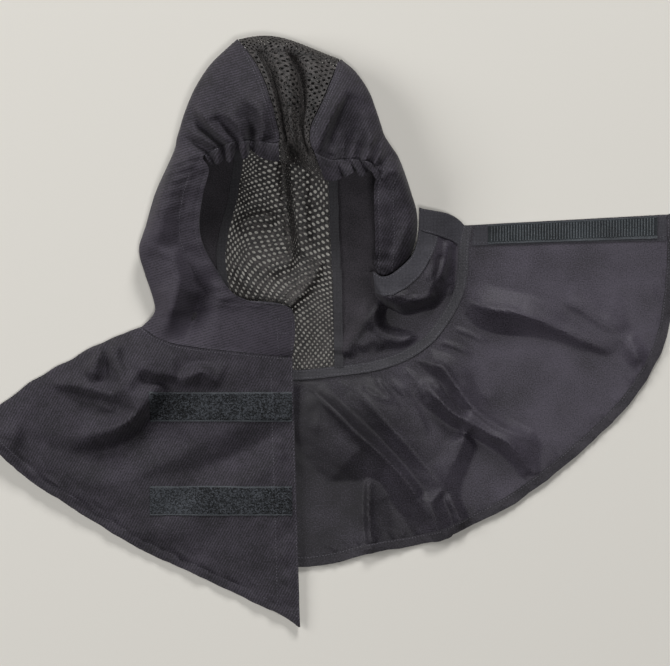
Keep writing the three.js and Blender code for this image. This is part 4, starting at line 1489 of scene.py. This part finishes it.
def repeat(piece: Piece, count: int, step: tuple[float, float, float], weld: float = 0.0) -> None:
    """Copy a mesh in a row, and weld what meets if a reach is given."""
    apply_modifier(piece, "ARRAY", count=count, use_relative_offset=False, use_constant_offset=True,
                   constant_offset_displace=step, use_merge_vertices=weld > 0, merge_threshold=weld)


def shade_smooth(piece: Piece, degrees: float = 40.0) -> None:
    """Shade the piece smooth, with its sharp edges kept."""
    pick(piece)
    bpy.ops.object.shade_smooth_by_angle(angle=math.radians(degrees))


def lay_sheet(
    name: str, columns: int, rows: int, surface: Surface, u: Places, v: Surface,
    flat: Callable[[Array, Array, Array], Array] | None = None, flip: bool = False,
) -> Piece:
    """Add a grid and move its vertices onto a surface.

    Args:
        name: The piece's name.
        columns: Cells along u.
        rows: Cells along v.
        surface: The surface, in millimetres.
        u: First place from a share, 0 to 1, of the grid.
        v: Second place from the first place and a share of the grid.
        flat: Flat places in millimetres from u, v and the points; the plan if none.
        flip: Turn the faces over, where the surface's normals point inside.

    Returns:
        The sheet, without thickness.
    """
    deselect()
    bpy.ops.mesh.primitive_grid_add(x_subdivisions=columns, y_subdivisions=rows, size=1.0)
    piece = named(name)
    shares = vertices(piece.data)[:, :2] + 0.5
    at_u = u(shares[:, 0])
    at_v = v(at_u, shares[:, 1])
    points = surface(at_u, at_v)
    move_vertices(piece.data, points)
    map_flat(piece.data, points if flat is None else flat(at_u, at_v, points))
    if flip:
        edit(bpy.ops.mesh.flip_normals)
    return piece


def thicken(piece: Piece, wall_mm: float, two_sided: bool = False) -> None:
    """Give a sheet its thickness, half to each side.

    Args:
        piece: The sheet.
        wall_mm: Its thickness.
        two_sided: Give the inner side the second material.
    """
    apply_modifier(piece, "SOLIDIFY", thickness=wall_mm * MM, offset=0.0, use_even_offset=False,
                   material_offset=1 if two_sided else 0)
    shade_smooth(piece)


class Workshop:
    """Finishes the pieces: material, body and CAD nodes that they stand for."""

    def __init__(self) -> None:
        """Make each material once."""
        self.materials: dict[str, bpy.types.Material] = {}

    def material(self, finish: Finish) -> bpy.types.Material:
        """The material of a finish.

        Args:
            finish: The finish.

        Returns:
            Its material, made if it is new.
        """
        if finish.name not in self.materials:
            self.materials[finish.name] = finish.build()
        return self.materials[finish.name]

    def dress(self, piece: Piece, slot: Slot, *finishes: Finish) -> None:
        """Give a piece its materials.

        Args:
            piece: The piece.
            slot: Its material slot; not used.
            finishes: Its finishes, the outer side's first.
        """
        for finish in finishes:
            piece.data.materials.append(self.material(finish))

    def settle(self, piece: Piece, *nodes: str) -> Piece:
        """Tie a piece to the garment and to the solids that it stands for.

        Args:
            piece: The finished piece.
            nodes: Solids that it replaces.

        Returns:
            The piece.
        """
        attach(piece, "root")
        if nodes:
            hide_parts(*nodes)
        log.info("%s: %d faces", piece.name, len(piece.data.polygons))
        return piece


@dataclass
class Stitcher:
    """Sews lines of lockstitch: one stitch is modelled, and copied along each line."""

    shop: Workshop
    length: float = 1.9
    width: float = 0.85
    height: float = 0.55
    sides: int = 6
    end_share: float = 0.45
    lines: list[tuple[Array, Array]] = field(default_factory=list)

    def sew(self, surface: Surface, u: Array, v: Array, lift: float, step: float = 1e-3) -> None:
        """Add one line of stitches, raised along the cloth's normal by a number of millimetres."""
        normal = normals(surface, u, v, step)
        self.lines.append((surface(u, v) + lift * normal, np.sign(lift) * normal))

    def stitch(self) -> tuple[Array, list[list[int]]]:
        """Model one stitch: a short rounded strand that dips at both ends.

        Returns:
            Its vertices and its faces.
        """
        deselect()
        bpy.ops.mesh.primitive_cylinder_add(vertices=self.sides, radius=0.5, depth=1.0,
                                            end_fill_type="TRIFAN")
        pattern = named("stitch_pattern")
        edit(bpy.ops.mesh.bisect, plane_co=(0, 0, 0), plane_no=(0, 0, 1))
        places = vertices(pattern.data)
        end = np.abs(places[:, 2]) > 0.25
        places[end, :2] *= self.end_share
        strand = np.column_stack([
            places[:, 2] * self.length, places[:, 1] * self.width, (places[:, 0] - 0.5 * end) * self.height,
        ])
        faces = [list(face.vertices) for face in pattern.data.polygons]
        bpy.data.objects.remove(pattern)
        return strand, faces

    def finish(self, name: str, pitch: float = STITCH_PITCH) -> Piece:
        """Copy the stitch along the lines that wait, and join them.

        Args:
            name: The piece's name.
            pitch: Millimetres from stitch to stitch.

        Returns:
            The stitches, as one piece.
        """
        strand, faces = self.stitch()
        points, polygons = [], []
        for line, normal in self.lines:
            gone = gone_along(line)
            marks = np.arange(pitch / 2, gone[-1], pitch)
            places, ahead, behind, up = (
                np.column_stack([np.interp(at, gone, values[:, i]) for i in range(3)])
                for at, values in ((marks, line), (marks + 0.5, line), (marks - 0.5, line), (marks, normal))
            )
            run = ahead - behind
            run /= np.linalg.norm(run, axis=1, keepdims=True)
            side = np.cross(up, run)
            side /= np.linalg.norm(side, axis=1, keepdims=True)
            up = np.cross(run, side)
            for place, x_axis, y_axis, z_axis in zip(places, run, side, up):
                start = len(points) * len(strand)
                points.append(place + strand @ np.stack([x_axis, y_axis, z_axis]))
                polygons.extend([[start + i for i in face] for face in faces])
        self.lines.clear()
        mesh = bpy.data.meshes.new(name)
        cloud = np.concatenate(points)
        mesh.from_pydata(((cloud + PLAN_SHIFT) * MM).tolist(), [], polygons)
        piece = bpy.data.objects.new(name, mesh)
        bpy.context.scene.collection.objects.link(piece)
        map_flat(mesh, cloud)
        self.shop.dress(piece, Slot.TAPE, THREAD)
        shade_smooth(piece, 60)
        return self.shop.settle(piece)


def between(low: float, high: float) -> Places:
    """Place at a share of the way between two numbers."""
    return lambda share: low + (high - low) * share


def by_table(*marks: float) -> Places:
    """Place at a share, with an equal part of the grid between each two marks."""
    return lambda share: np.interp(share, np.linspace(0, 1, len(marks)), marks)


@dataclass
class CapePiece:
    """The cape with its hem, neck tape, front facings and their seams."""

    shop: Workshop
    cloth: CapeCloth
    columns: int = 420
    rows: int = 100

    def around(self, low: float = 0.0, high: float = float(CAPE_LAST_ROW)) -> Places:
        """Rows of the cape, spaced nearly evenly along it.

        Args:
            low: First row.
            high: Last row.

        Returns:
            The row at a share of the way.
        """
        marks = np.linspace(low, high, 400)
        hem = self.cloth.share(marks, np.ones(400))
        neck = self.cloth.share(marks, np.zeros(400))
        mean = (2 * hem + neck) / 3
        # Few columns are spent on the back, under the closed front, and more on the long folds
        hidden = window(marks, 7.6, 8.2, 10.6, 11.4)
        folded = window(marks, 12.2, 12.8, 17.0, 17.8)
        steps = np.linalg.norm(np.diff(mean, axis=0), axis=1)
        steps = steps * (1 - 0.75 * hidden[1:]) * (1 + 0.8 * folded[1:])
        gone = np.concatenate([[0.0], np.cumsum(steps + 0.02)])
        return lambda share: np.interp(share, gone / gone[-1], marks)

    def band(
        self, name: str, node: str, finish: Finish, slot: Slot, rows: tuple[float, float], columns: int,
        reach: Surface, lines: int,
    ) -> Piece:
        """A strip sewn to the inside of the cape.

        Args:
            name: The piece's name.
            node: The solid that it replaces.
            finish: Its finish.
            slot: Its material slot.
            rows: First and last row of the cape's table.
            columns: Cells along it.
            reach: Distance from the neck seam, from a row and a share of the strip's width.
            lines: Cells across it.

        Returns:
            The strip.
        """
        inside = lifted(self.cloth.at, -SEWN_ON, CAPE_STEP)
        piece = lay_sheet(name, columns, lines, inside, self.around(*rows), reach)
        self.shop.dress(piece, slot, finish)
        thicken(piece, TAPE)
        return self.shop.settle(piece, node)

    def build(self, stitcher: Stitcher) -> list[Piece]:
        """Make the cape and what is sewn to it.

        Args:
            stitcher: Sews its seams.

        Returns:
            The cape and its strips.
        """
        cloth = self.cloth
        cape = lay_sheet("cape_cloth", self.columns, self.rows, cloth.share, self.around(), lambda u, s: s)
        self.shop.dress(cape, Slot.TWILL, TWILL_OUTSIDE, TWILL_BACK)
        thicken(cape, TWILL, True)
        self.shop.settle(cape, "cape")

        def down_front(row: Array, share: Array) -> Array:
            """Distance from the neck seam, between the neck tape and the hem."""
            return lerp(NECK_TAPE_WIDTH + END_GAP, cloth.length(row) - HEM_WIDTH - END_GAP, share)

        tape = self.band("neck_seam_tape", "neck_tape", TAPE_WEAVE, Slot.TAPE, (0, CAPE_LAST_ROW), 260,
                         lambda u, s: s * NECK_TAPE_WIDTH - NECK_TAPE_OVER, 4)
        hem = self.band("turned_hem", "hem_fold", HEM_BACK, Slot.INSIDE, (0, CAPE_LAST_ROW), 330,
                        lambda u, s: cloth.length(u) - 0.4 - (HEM_WIDTH - 0.8) * (1 - s), 4)
        left = self.band("closed_front_facing", "front_facing_left", FACING_WEAVE, Slot.INSIDE,
                         (0.02, 1.0), 8, down_front, 60)
        right = self.band("open_front_facing", "front_facing_right", FACING_WEAVE, Slot.INSIDE,
                          (FACING_ROW, CAPE_LAST_ROW - 0.02), 10, down_front, 70)
        self.sew(stitcher)
        return [cape, tape, hem, left, right, stitcher.finish("cape_stitches")]

    def sew(self, stitcher: Stitcher) -> None:
        """Lay the cape's lines of stitches.

        Args:
            stitcher: Sews them.
        """
        cloth = self.cloth
        # Hem, outside on the closed front and inside on the rest
        for low, high, points, lift in ((0.15, 6.5, 500, ON_TWILL), (8.5, 20.95, 900, -ON_STRIP)):
            rows = self.around(low, high)(np.linspace(0, 1, points))
            stitcher.sew(cloth.at, rows, cloth.length(rows) - HEM_WIDTH + 2.0, lift, CAPE_STEP)
        # Both edges of the neck tape, and the seam under it on the closed front
        for low, high, points, reach, lift in (
            (11.2, 20.95, 500, 1.6 - NECK_TAPE_OVER, -ON_STRIP),
            (11.2, 20.95, 500, NECK_TAPE_WIDTH - NECK_TAPE_OVER - 1.6, -ON_STRIP),
            (0.1, 6.6, 400, 2.2, ON_TWILL),
        ):
            rows = self.around(low, high)(np.linspace(0, 1, points))
            stitcher.sew(cloth.at, rows, np.full(points, reach), lift, CAPE_STEP)
        # Both edges of the two front facings
        for row, low, high, lift in (
            (0.1, 4.0, 264.0, ON_TWILL), (0.98, 4.0, 250.0, ON_TWILL),
            (FACING_ROW + 0.1, 12.0, 204.0, -ON_STRIP), (CAPE_LAST_ROW - 0.12, 12.0, 204.0, -ON_STRIP),
        ):
            stitcher.sew(cloth.at, np.full(400, row), np.linspace(low, high, 400), lift, CAPE_STEP)


@dataclass
class HoodPiece:
    """The hood: side panels, facings, tapes and casings; its mesh is made apart."""

    shop: Workshop
    cloth: HoodCloth

    def on_cheek(self, row: Array, share: Array, points: Array) -> Array:
        """Flat places of the left panel, cut so that its twill lies nearly level."""
        turn = math.radians(45)
        return np.column_stack([
            points[:, 0] * math.cos(turn) - points[:, 1] * math.sin(turn),
            points[:, 0] * math.sin(turn) + points[:, 1] * math.cos(turn),
        ])

    def panels(self, stitcher: Stitcher) -> list[Piece]:
        """Make the side panels with their facings and stitches.

        Args:
            stitcher: Sews their seams.

        Returns:
            The pieces, the two panels first.
        """
        cloth, shop = self.cloth, self.shop
        left = lay_sheet("left_hood_panel", 150, 96, cloth.left, by_table(0, 5, 8, 12, LEFT_LAST_ROW),
                         lambda u, s: s, self.on_cheek, flip=True)
        # Outside with painted light round the cheek, inside with the darker back as painted shade
        shop.dress(left, Slot.TWILL, CHEEK_TWILL, SHADED_HOOD_BACK)
        thicken(left, TWILL, True)
        shop.settle(left, "hood_panel_left")

        right = lay_sheet("right_hood_panel", 140, 90, cloth.right, by_table(0, 5, 8, 11, RIGHT_LAST_ROW),
                          lambda u, s: s)
        chin = lay_sheet("opened_chin", 150, 76, cloth.chin, by_table(0, 2, 3, 6, 8, CHIN_LAST_ROW),
                         lambda u, s: s)
        # The right panel's inside takes the darker back as painted shade
        for part, back in ((right, SHADED_HOOD_BACK), (chin, TWILL_BACK)):
            shop.dress(part, Slot.TWILL, TWILL_OUTSIDE, back)
            thicken(part, TWILL, True)
        # Painted shade on the chin's back inside the hood
        self.paint_chin_shade(chin)
        join(right, chin)
        shop.settle(right, "hood_panel_right")

        facings = []
        inside_left = lifted(cloth.left, SEWN_ON)
        inside_chin = lifted(cloth.chin, -SEWN_ON)
        for name, node, surface, rows, across, cells in (
            ("left_face_facing", "face_facing_left", inside_left, (FACE_ROW + 0.5, LEFT_LAST_ROW - 0.5),
             lambda u, s: s * cloth.share_at(LEFT, u, FACING_WIDTH), (90, 6)),
            ("right_face_facing", "face_facing_right", inside_chin, (SHELF_ROW, CHIN_ROW - 0.05),
             lambda u, s: s * FACING_WIDTH / cloth.chin_length(u), (90, 8)),
            ("chin_front_facing", "chin_facing_right", inside_chin, (CHIN_ROW, CHIN_LAST_ROW),
             lambda u, s: 0.005 + 0.98 * s, (12, 30)),
        ):
            piece = lay_sheet(name, *cells, surface, between(*rows), across, flip=node == "face_facing_left")
            shop.dress(piece, Slot.INSIDE, FACING_WEAVE)
            thicken(piece, TAPE)
            facings.append(shop.settle(piece, node))
        self.sew_panels(stitcher)
        return [left, right, *facings, stitcher.finish("hood_stitches")]

    def paint_chin_shade(self, chin: Piece) -> None:
        """Paint shade on the chin: its back takes the hood's darker back as far as the crease that runs up
        its inner side.

        Args:
            chin: The opened chin.
        """
        chin.data.materials.append(self.shop.material(SHADED_HOOD_BACK))
        for face in chin.data.polygons:
            x, y = face.center.x / MM - PLAN_SHIFT[0], face.center.y / MM - PLAN_SHIFT[1]
            # Faces of the back inside the crease take the painted shade
            if face.material_index == 1 and x < np.interp(y, (-30, 4, 27, 40, 60), (10, 31, 47, 56, 58)):
                face.material_index = 2

    def sew_panels(self, stitcher: Stitcher) -> None:
        """Lay the stitches along the face edges, the mesh seams and the chin.

        Args:
            stitcher: Sews them.
        """
        cloth = self.cloth
        left, right = (cloth.left, LEFT, -ON_TWILL), (cloth.right, RIGHT, ON_TWILL)
        # Lines beside the face edges, the end of the chin and the mesh seams, at two distances from each edge
        for (panel, ribs, lift), low, high, points, distances in (
            (left, FACE_ROW + 0.2, LEFT_LAST_ROW - 1, 500, (4.0, 20.0)),
            (left, LEFT_LAST_ROW - 1.1, LEFT_LAST_ROW - 0.02, 120, (2.6, 20.0)),
            (right, FACE_ROW + 0.1, RIGHT_LAST_ROW - 0.6, 400, (4.5, 19.0)),
            (left, 0.3, BROW_ROW, 300, (3.0, 6.0)),
            (right, 0.3, BROW_ROW, 300, (3.0, 6.0)),
        ):
            rows = np.linspace(low, high, points)
            for distance in distances:
                stitcher.sew(panel, rows, cloth.share_at(ribs, rows, distance), lift)
        # Two bars across the end of the left face edge
        for row in (LEFT_LAST_ROW - 0.9, LEFT_LAST_ROW - 0.7):
            across = np.full(60, row)
            down = cloth.share_at(LEFT, across, 20.0) * np.linspace(0.1, 1, 60)
            stitcher.sew(cloth.left, across, down, -ON_TWILL)
        # Both edges of the chin's two facings
        rows = np.linspace(SHELF_ROW + 0.1, CHIN_ROW, 300)
        for distance in (1.8, 18.6):
            stitcher.sew(cloth.chin, rows, distance / cloth.chin_length(rows), -ON_STRIP)
        for row in (CHIN_ROW + 0.06, CHIN_LAST_ROW - 0.1):
            stitcher.sew(cloth.chin, np.full(200, row), np.linspace(0.03, 0.95, 200), -ON_STRIP)

    def casings(self, stitcher: Stitcher) -> list[Piece]:
        """Make the two gathered brow casings.

        Args:
            stitcher: Sews their seams.

        Returns:
            The two pieces and their stitches.
        """
        made = []
        for side in Side:
            def surface(along: Array, down: Array, side: Side = side) -> Array:
                """The casing, from its stitched line down."""
                return self.cloth.casing(side, along, down)

            piece = lay_sheet(f"{side.value}_brow_casing", 130, 20, surface, between(0, 1),
                              lambda u, s: 1.06 * s - 0.06, flip=side is Side.RIGHT)
            self.shop.dress(piece, Slot.TWILL, TWILL_OUTSIDE, TWILL_BACK)
            thicken(piece, TWILL, True)
            made.append(self.shop.settle(piece, f"brow_casing_{side.value}"))
            sign = 1 if side is Side.LEFT else -1
            along = np.linspace(0.02, 0.98, 200)
            stitcher.sew(surface, along, np.full(200, 0.12), sign * ON_TWILL)
        return [*made, stitcher.finish("casing_stitches")]

    def tapes(self, stitcher: Stitcher) -> list[Piece]:
        """Make the tapes that cover the mesh seams inside.

        Args:
            stitcher: Sews their seams.

        Returns:
            The two pieces and their stitches.
        """
        made = []
        for side in Side:
            def surface(along: Array, aside: Array, side: Side = side) -> Array:
                """The tape, across its seam."""
                seam = self.cloth.mesh_seam(along, side)
                return seam + stacked(aside, 0 * aside, 0 * aside + SEWN_ON + 0.6)

            piece = lay_sheet(f"{side.value}_seam_tape", 150, 4, surface, between(2.25, 3.0),
                              lambda u, s: (s - 0.5) * SEAM_TAPE_WIDTH)
            self.shop.dress(piece, Slot.TAPE, SHADED_SEAM_TAPE_WEAVE)
            thicken(piece, TAPE)
            made.append(self.shop.settle(piece, f"seam_tape_{side.value}"))
            along = np.linspace(2.26, 2.96, 400)
            for aside in (-3.0, 3.0):
                stitcher.sew(surface, along, np.full(400, aside), -ON_TAPE)
        return [*made, stitcher.finish("tape_stitches")]


@dataclass
class NetPiece:
    """The knitted mesh panel, with its holes."""

    shop: Workshop
    cloth: HoodCloth
    pitch_across: float = 3.4
    pitch_along: float = 6.1
    hole: float = 2.65
    columns: int = 34
    rows: int = 82
    weld: float = 0.02
    # Uneven pull: how much holes widen and narrow, its limits, and columns' drift as a share of the width
    spread: float = 0.3
    narrowest: float = 0.55
    widest: float = 1.2
    drift: float = 0.1

    def cell(self) -> Piece:
        """Model one cell of the net: a rectangle about a round hole.

        Returns:
            The cell, flat, in millimetres.
        """
        deselect()
        bpy.ops.mesh.primitive_circle_add(vertices=8, radius=self.hole / 2, fill_type="NOTHING")
        piece = named("net_cell")
        edit(bpy.ops.mesh.extrude_edges_move)
        places = vertices(piece.data)
        rim = np.array([v.select for v in piece.data.vertices])
        turn = np.sign(np.round(places[rim], 3))
        places[rim] = turn * np.array([self.pitch_across / 2, self.pitch_along / 2, 0])
        piece.data.vertices.foreach_set("co", places.ravel())
        return piece

    def flat_net(self) -> Piece:
        """Repeat the cell over the panel, every other column half a cell on.

        Returns:
            The net, flat, in millimetres.
        """
        piece = self.cell()
        repeat(piece, self.rows, (0, self.pitch_along, 0), self.weld)
        pick(piece)
        bpy.ops.object.duplicate()
        other = bpy.context.object
        other.data.transform(Matrix.Translation((self.pitch_across, self.pitch_along / 2, 0)))
        join(piece, other)
        repeat(piece, self.columns // 2, (2 * self.pitch_across, 0, 0), self.weld)
        apply_modifier(piece, "WELD", merge_threshold=self.weld)
        return piece

    def uneven(self, flat: Array) -> Array:
        """Widen and narrow the holes, as in a knit that is pulled unevenly.

        Args:
            flat: Places of the flat net's vertices, in millimetres.

        Returns:
            The places, with those around each hole moved in or out.
        """
        column = np.round(flat[:, 0] / self.pitch_across)
        shift = (column % 2) * self.pitch_along / 2
        row = np.round((flat[:, 1] - shift) / self.pitch_along)
        level = np.zeros(len(flat))
        centre = np.column_stack([column * self.pitch_across, row * self.pitch_along + shift, level])
        arm = flat - centre
        in_hole = np.linalg.norm(arm, axis=1) < self.hole / 2 + 0.05
        pull = 1 + self.spread * rumpled(centre[:, 0] / 9, centre[:, 1] / 9, 71)
        pull = np.clip(pull, self.narrowest, self.widest)
        return np.where(in_hole[:, None], centre + arm * pull[:, None], flat)

    def build(self) -> Piece:
        """Make the net and lay it between its seams.

        Returns:
            The net.
        """
        piece = self.flat_net()
        piece.name = piece.data.name = "mesh_crown_panel"
        flat = self.uneven(vertices(piece.data))
        marks = np.linspace(-0.5, 3.0, 600)
        line = self.cloth.net(marks, np.full(600, 0.5))
        gone = gone_along(line)
        low, high = flat.min(axis=0), flat.max(axis=0)
        share = (flat[:, 0] - low[0]) / (high[0] - low[0])
        share += self.drift * share * (1 - share) * rumpled(flat[:, 0] / 20, flat[:, 1] / 20, 73)
        along = np.interp((flat[:, 1] - low[1]) / (high[1] - low[1]) * gone[-1], gone, marks)
        move_vertices(piece.data, self.cloth.net(along, self.cloth.gathered(along, share)))
        map_flat(piece.data, flat)
        self.shop.dress(piece, Slot.NET, NET_YARN)
        thicken(piece, NET)
        return self.shop.settle(piece, "mesh_panel")


@dataclass
class Fasteners:
    """Hook tape on the open front and loop tapes on the closed one."""

    shop: Workshop
    cape: CapeCloth
    loops: tuple[tuple[str, float, float, float, float], ...] = (
        ("loop_strip_upper", -178, -36, -89, -60), ("loop_strip_lower", -178, -36, -183, -154),
    )
    pile_edge: float = 1.3
    # Hook tape: its ends across the plan, its rows of the cape's table, its cells and those of smooth edges
    hook_from: float = 160.0
    hook_to: float = 329.0
    hook_rows: tuple[float, float] = (20.05, 20.93)
    hook_cells: tuple[int, int] = (24, 120)
    hook_edge: int = 2
    # Hooks: how many across and along the tape, their pitch, thickness, height and overhang
    hook_counts: tuple[int, int] = (13, 58)
    hook_pitch: tuple[float, float] = (1.3, 2.8)
    hook_thick: float = 1.1
    hook_height: float = 1.2
    hook_over: float = 0.6

    def tufts(self, x: Array, y: Array, seed: int) -> Array:
        """Height of the uneven pile over points of the plan."""
        return 0.5 + 0.5 * rumpled(x / 1.4, y / 1.4, seed) + 0.2 * rumpled(x / 5, y / 5, seed + 1)

    def loop_tapes(self) -> list[Piece]:
        """Make the loop tapes: a woven ground with a dense uneven pile.

        Returns:
            The two tapes.
        """
        made = []
        for number, (node, from_x, to_x, low_y, high_y) in enumerate(self.loops):
            front = lifted(self.cape.front, STRIP_ON_FRONT, 0.2)

            def pile(x: Array, y: Array, seed: int = 11 + 2 * number) -> Array:
                """The pile's surface, lower at its woven edges."""
                inside = np.minimum(np.minimum(x - from_x, to_x - x), np.minimum(y - low_y, high_y - y))
                return front(x, y) + stacked(
                    0 * x, 0 * y, smoothstep(inside, 0.6, 2.4) * self.tufts(x, y, seed)
                )

            piece = lay_sheet(f"{node}_pile", 178, 40, pile, between(from_x, to_x),
                              lambda u, s: lerp(low_y, high_y, s))
            self.shop.dress(piece, Slot.LOOP, LOOP_YARN, SELVEDGE)
            self.edge(piece, (low_y, high_y))
            thicken(piece, FASTENER)
            made.append(self.shop.settle(piece, node))
        return made

    def edge(self, piece: Piece, sides: tuple[float, float]) -> None:
        """Give the faces along the two long sides of a loop tape its second material.

        Args:
            piece: The tape.
            sides: Where its sides lie up the plan.
        """
        centres = np.array([face.center for face in piece.data.polygons])[:, 1] / MM - PLAN_SHIFT[1]
        on_edge = np.minimum(np.abs(centres - sides[0]), np.abs(centres - sides[1])) < self.pile_edge
        piece.data.polygons.foreach_set("material_index", on_edge.astype(np.int32))

    def hook_tape(self) -> Piece:
        """Make the hook tape: a woven band with rows of small hooks.

        Returns:
            The tape.
        """
        inside = lifted(self.cape.at, -STRIP_ON_FACING, CAPE_STEP)

        def reach(row: Array, share: Array) -> Array:
            """Distance from the neck seam at a share of the tape's length."""
            r, x = CAPE.at(row), lerp(self.hook_from, self.hook_to, share)
            return (x - r["neck_x"]) / (r["hem_x"] - r["neck_x"]) * self.cape.length(row)

        band = lay_sheet("hook_tape", *self.hook_cells, inside, between(*self.hook_rows), reach)
        self.shop.dress(band, Slot.HOOK, SELVEDGE, SHADED_HOOK_GROUND)
        cells = self.hook_cells[0]
        column = np.arange(len(band.data.polygons)) % cells
        # Faces under the hooks take the darker nylon as painted shade
        shaded_under_hooks = (column >= self.hook_edge) & (column < cells - self.hook_edge)
        band.data.polygons.foreach_set("material_index", shaded_under_hooks.astype(np.int32))
        thicken(band, FASTENER)
        join(band, self.hooks(lambda u, v: inside(u, reach(u, v))))
        return self.shop.settle(band, "hook_strip")

    def hooks(self, surface: Surface) -> Piece:
        """Model one hook and repeat it over the tape.

        Args:
            surface: The tape, from a row of the cape and a share of the tape's length.

        Returns:
            The hooks, as one piece.
        """
        deselect()
        bpy.ops.mesh.primitive_cube_add(size=1.0)
        hook = named("tape_hooks")
        edit(bpy.ops.mesh.bisect, plane_co=(0, 0, 0.15), plane_no=(0, 0, 1))
        places = vertices(hook.data)
        # The stem stands up and its tip bends over along the tape
        lean = smoothstep(places[:, 2], 0.0, 0.5)
        hook.data.vertices.foreach_set("co", np.column_stack([
            places[:, 0] * self.hook_thick, places[:, 1] * (1.0 - 0.3 * lean) + self.hook_over * lean,
            self.hook_height * (places[:, 2] + 0.5),
        ]).ravel())
        repeat(hook, self.hook_counts[0], (self.hook_pitch[0], 0, 0))
        repeat(hook, self.hook_counts[1], (0, self.hook_pitch[1], 0))
        flat = vertices(hook.data)
        u = lerp(*self.hook_rows, 0.13 + 0.74 * flat[:, 0] / flat[:, 0].max())
        v = 0.02 + 0.96 * flat[:, 1] / flat[:, 1].max()
        points = surface(u, v)
        points[:, 2] += flat[:, 2] + 0.35
        move_vertices(hook.data, points)
        map_flat(hook.data, points)
        self.shop.dress(hook, Slot.HOOK, HOOK_NYLON)
        return hook


@dataclass(frozen=True)
class Softbox:
    """A wide soft light that faces the garment, with its place and size in metres and its power in watts."""

    name: str
    place: tuple[float, float, float]
    size: tuple[float, float]
    power: float

    def hang(self) -> None:
        """Add the light to the scene."""
        data = bpy.data.lights.new(self.name, "AREA")
        data.shape = "RECTANGLE"
        data.size, data.size_y = self.size
        data.energy = self.power
        lamp = bpy.data.objects.new(self.name, data)
        lamp.location = self.place
        lamp.rotation_euler = Vector(self.place).to_track_quat("Z", "Y").to_euler()
        bpy.context.scene.collection.objects.link(lamp)


@dataclass
class Studio:
    """Pale floor, soft light and a camera straight above."""

    frame_px: tuple[int, int] = (670, 666)
    middle_px: tuple[float, float] = (335.0, 333.0)
    zero_px: tuple[float, float] = (328.0, 332.0)
    height: float = 6.0
    sensor: float = 36.0
    clip: float = 30.0
    floor_colour: str = "d3d0c9"
    floor_roughness: float = 0.95
    floor_size: float = 12.0
    floor_level: float = -0.0004
    room_colour: tuple[float, float, float, float] = (1.0, 0.99, 0.97, 1.0)
    room_light: float = 0.05
    lights: tuple[Softbox, ...] = (
        Softbox("left_softbox", (-4.6, 1.2, 2.9), (3.2, 2.6), 190.0),
        Softbox("top_softbox", (1.0, 4.6, 2.9), (1.6, 1.6), 214.0),
        Softbox("ceiling_light", (0.8, -1.6, 9.0), (1.6, 1.6), 256.0),
    )

    def build(self) -> None:
        """Set the floor, the lights and the camera."""
        scene = bpy.context.scene
        scene.view_settings.view_transform = "Standard"
        deselect()
        bpy.ops.mesh.primitive_plane_add(size=self.floor_size, location=(0, 0, self.floor_level))
        floor = named("pale_floor")
        material = bpy.data.materials.new("pale_paper")
        material.use_nodes = True
        shader = material.node_tree.nodes["Principled BSDF"]
        shader.inputs["Base Color"].default_value = linear(self.floor_colour)
        shader.inputs["Roughness"].default_value = self.floor_roughness
        floor.data.materials.append(material)

        world = bpy.data.worlds.new("soft_room")
        world.use_nodes = True
        background = world.node_tree.nodes["Background"]
        background.inputs["Color"].default_value = self.room_colour
        background.inputs["Strength"].default_value = self.room_light
        scene.world = world
        for softbox in self.lights:
            softbox.hang()

        camera = bpy.data.cameras.new("photo_camera")
        camera.sensor_width = self.sensor
        camera.lens = self.sensor * self.height / (self.frame_px[0] * MM)
        camera.clip_end = self.clip
        stand = bpy.data.objects.new("photo_camera", camera)
        stand.location = (
            (self.middle_px[0] - self.zero_px[0] + PLAN_SHIFT[0]) * MM,
            (self.zero_px[1] - self.middle_px[1] + PLAN_SHIFT[1]) * MM,
            self.height,
        )
        scene.collection.objects.link(stand)
        scene.camera = stand


def main() -> None:
    """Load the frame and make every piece."""
    logging.basicConfig(level=logging.INFO, format="%(name)s: %(message)s")
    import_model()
    Studio().build()
    shop = Workshop()
    stitcher = Stitcher(shop)
    cape_cloth = CapeCloth()
    hood_cloth = HoodCloth(cape_cloth)
    hood = HoodPiece(shop, hood_cloth)
    cape = CapePiece(shop, cape_cloth).build(stitcher)
    panels = hood.panels(stitcher)
    net = NetPiece(shop, hood_cloth).build()
    casings = hood.casings(stitcher)
    tapes = hood.tapes(stitcher)
    fasteners = Fasteners(shop, cape_cloth)
    strips = [*fasteners.loop_tapes(), fasteners.hook_tape()]


if __name__ == "__main__":
    main()
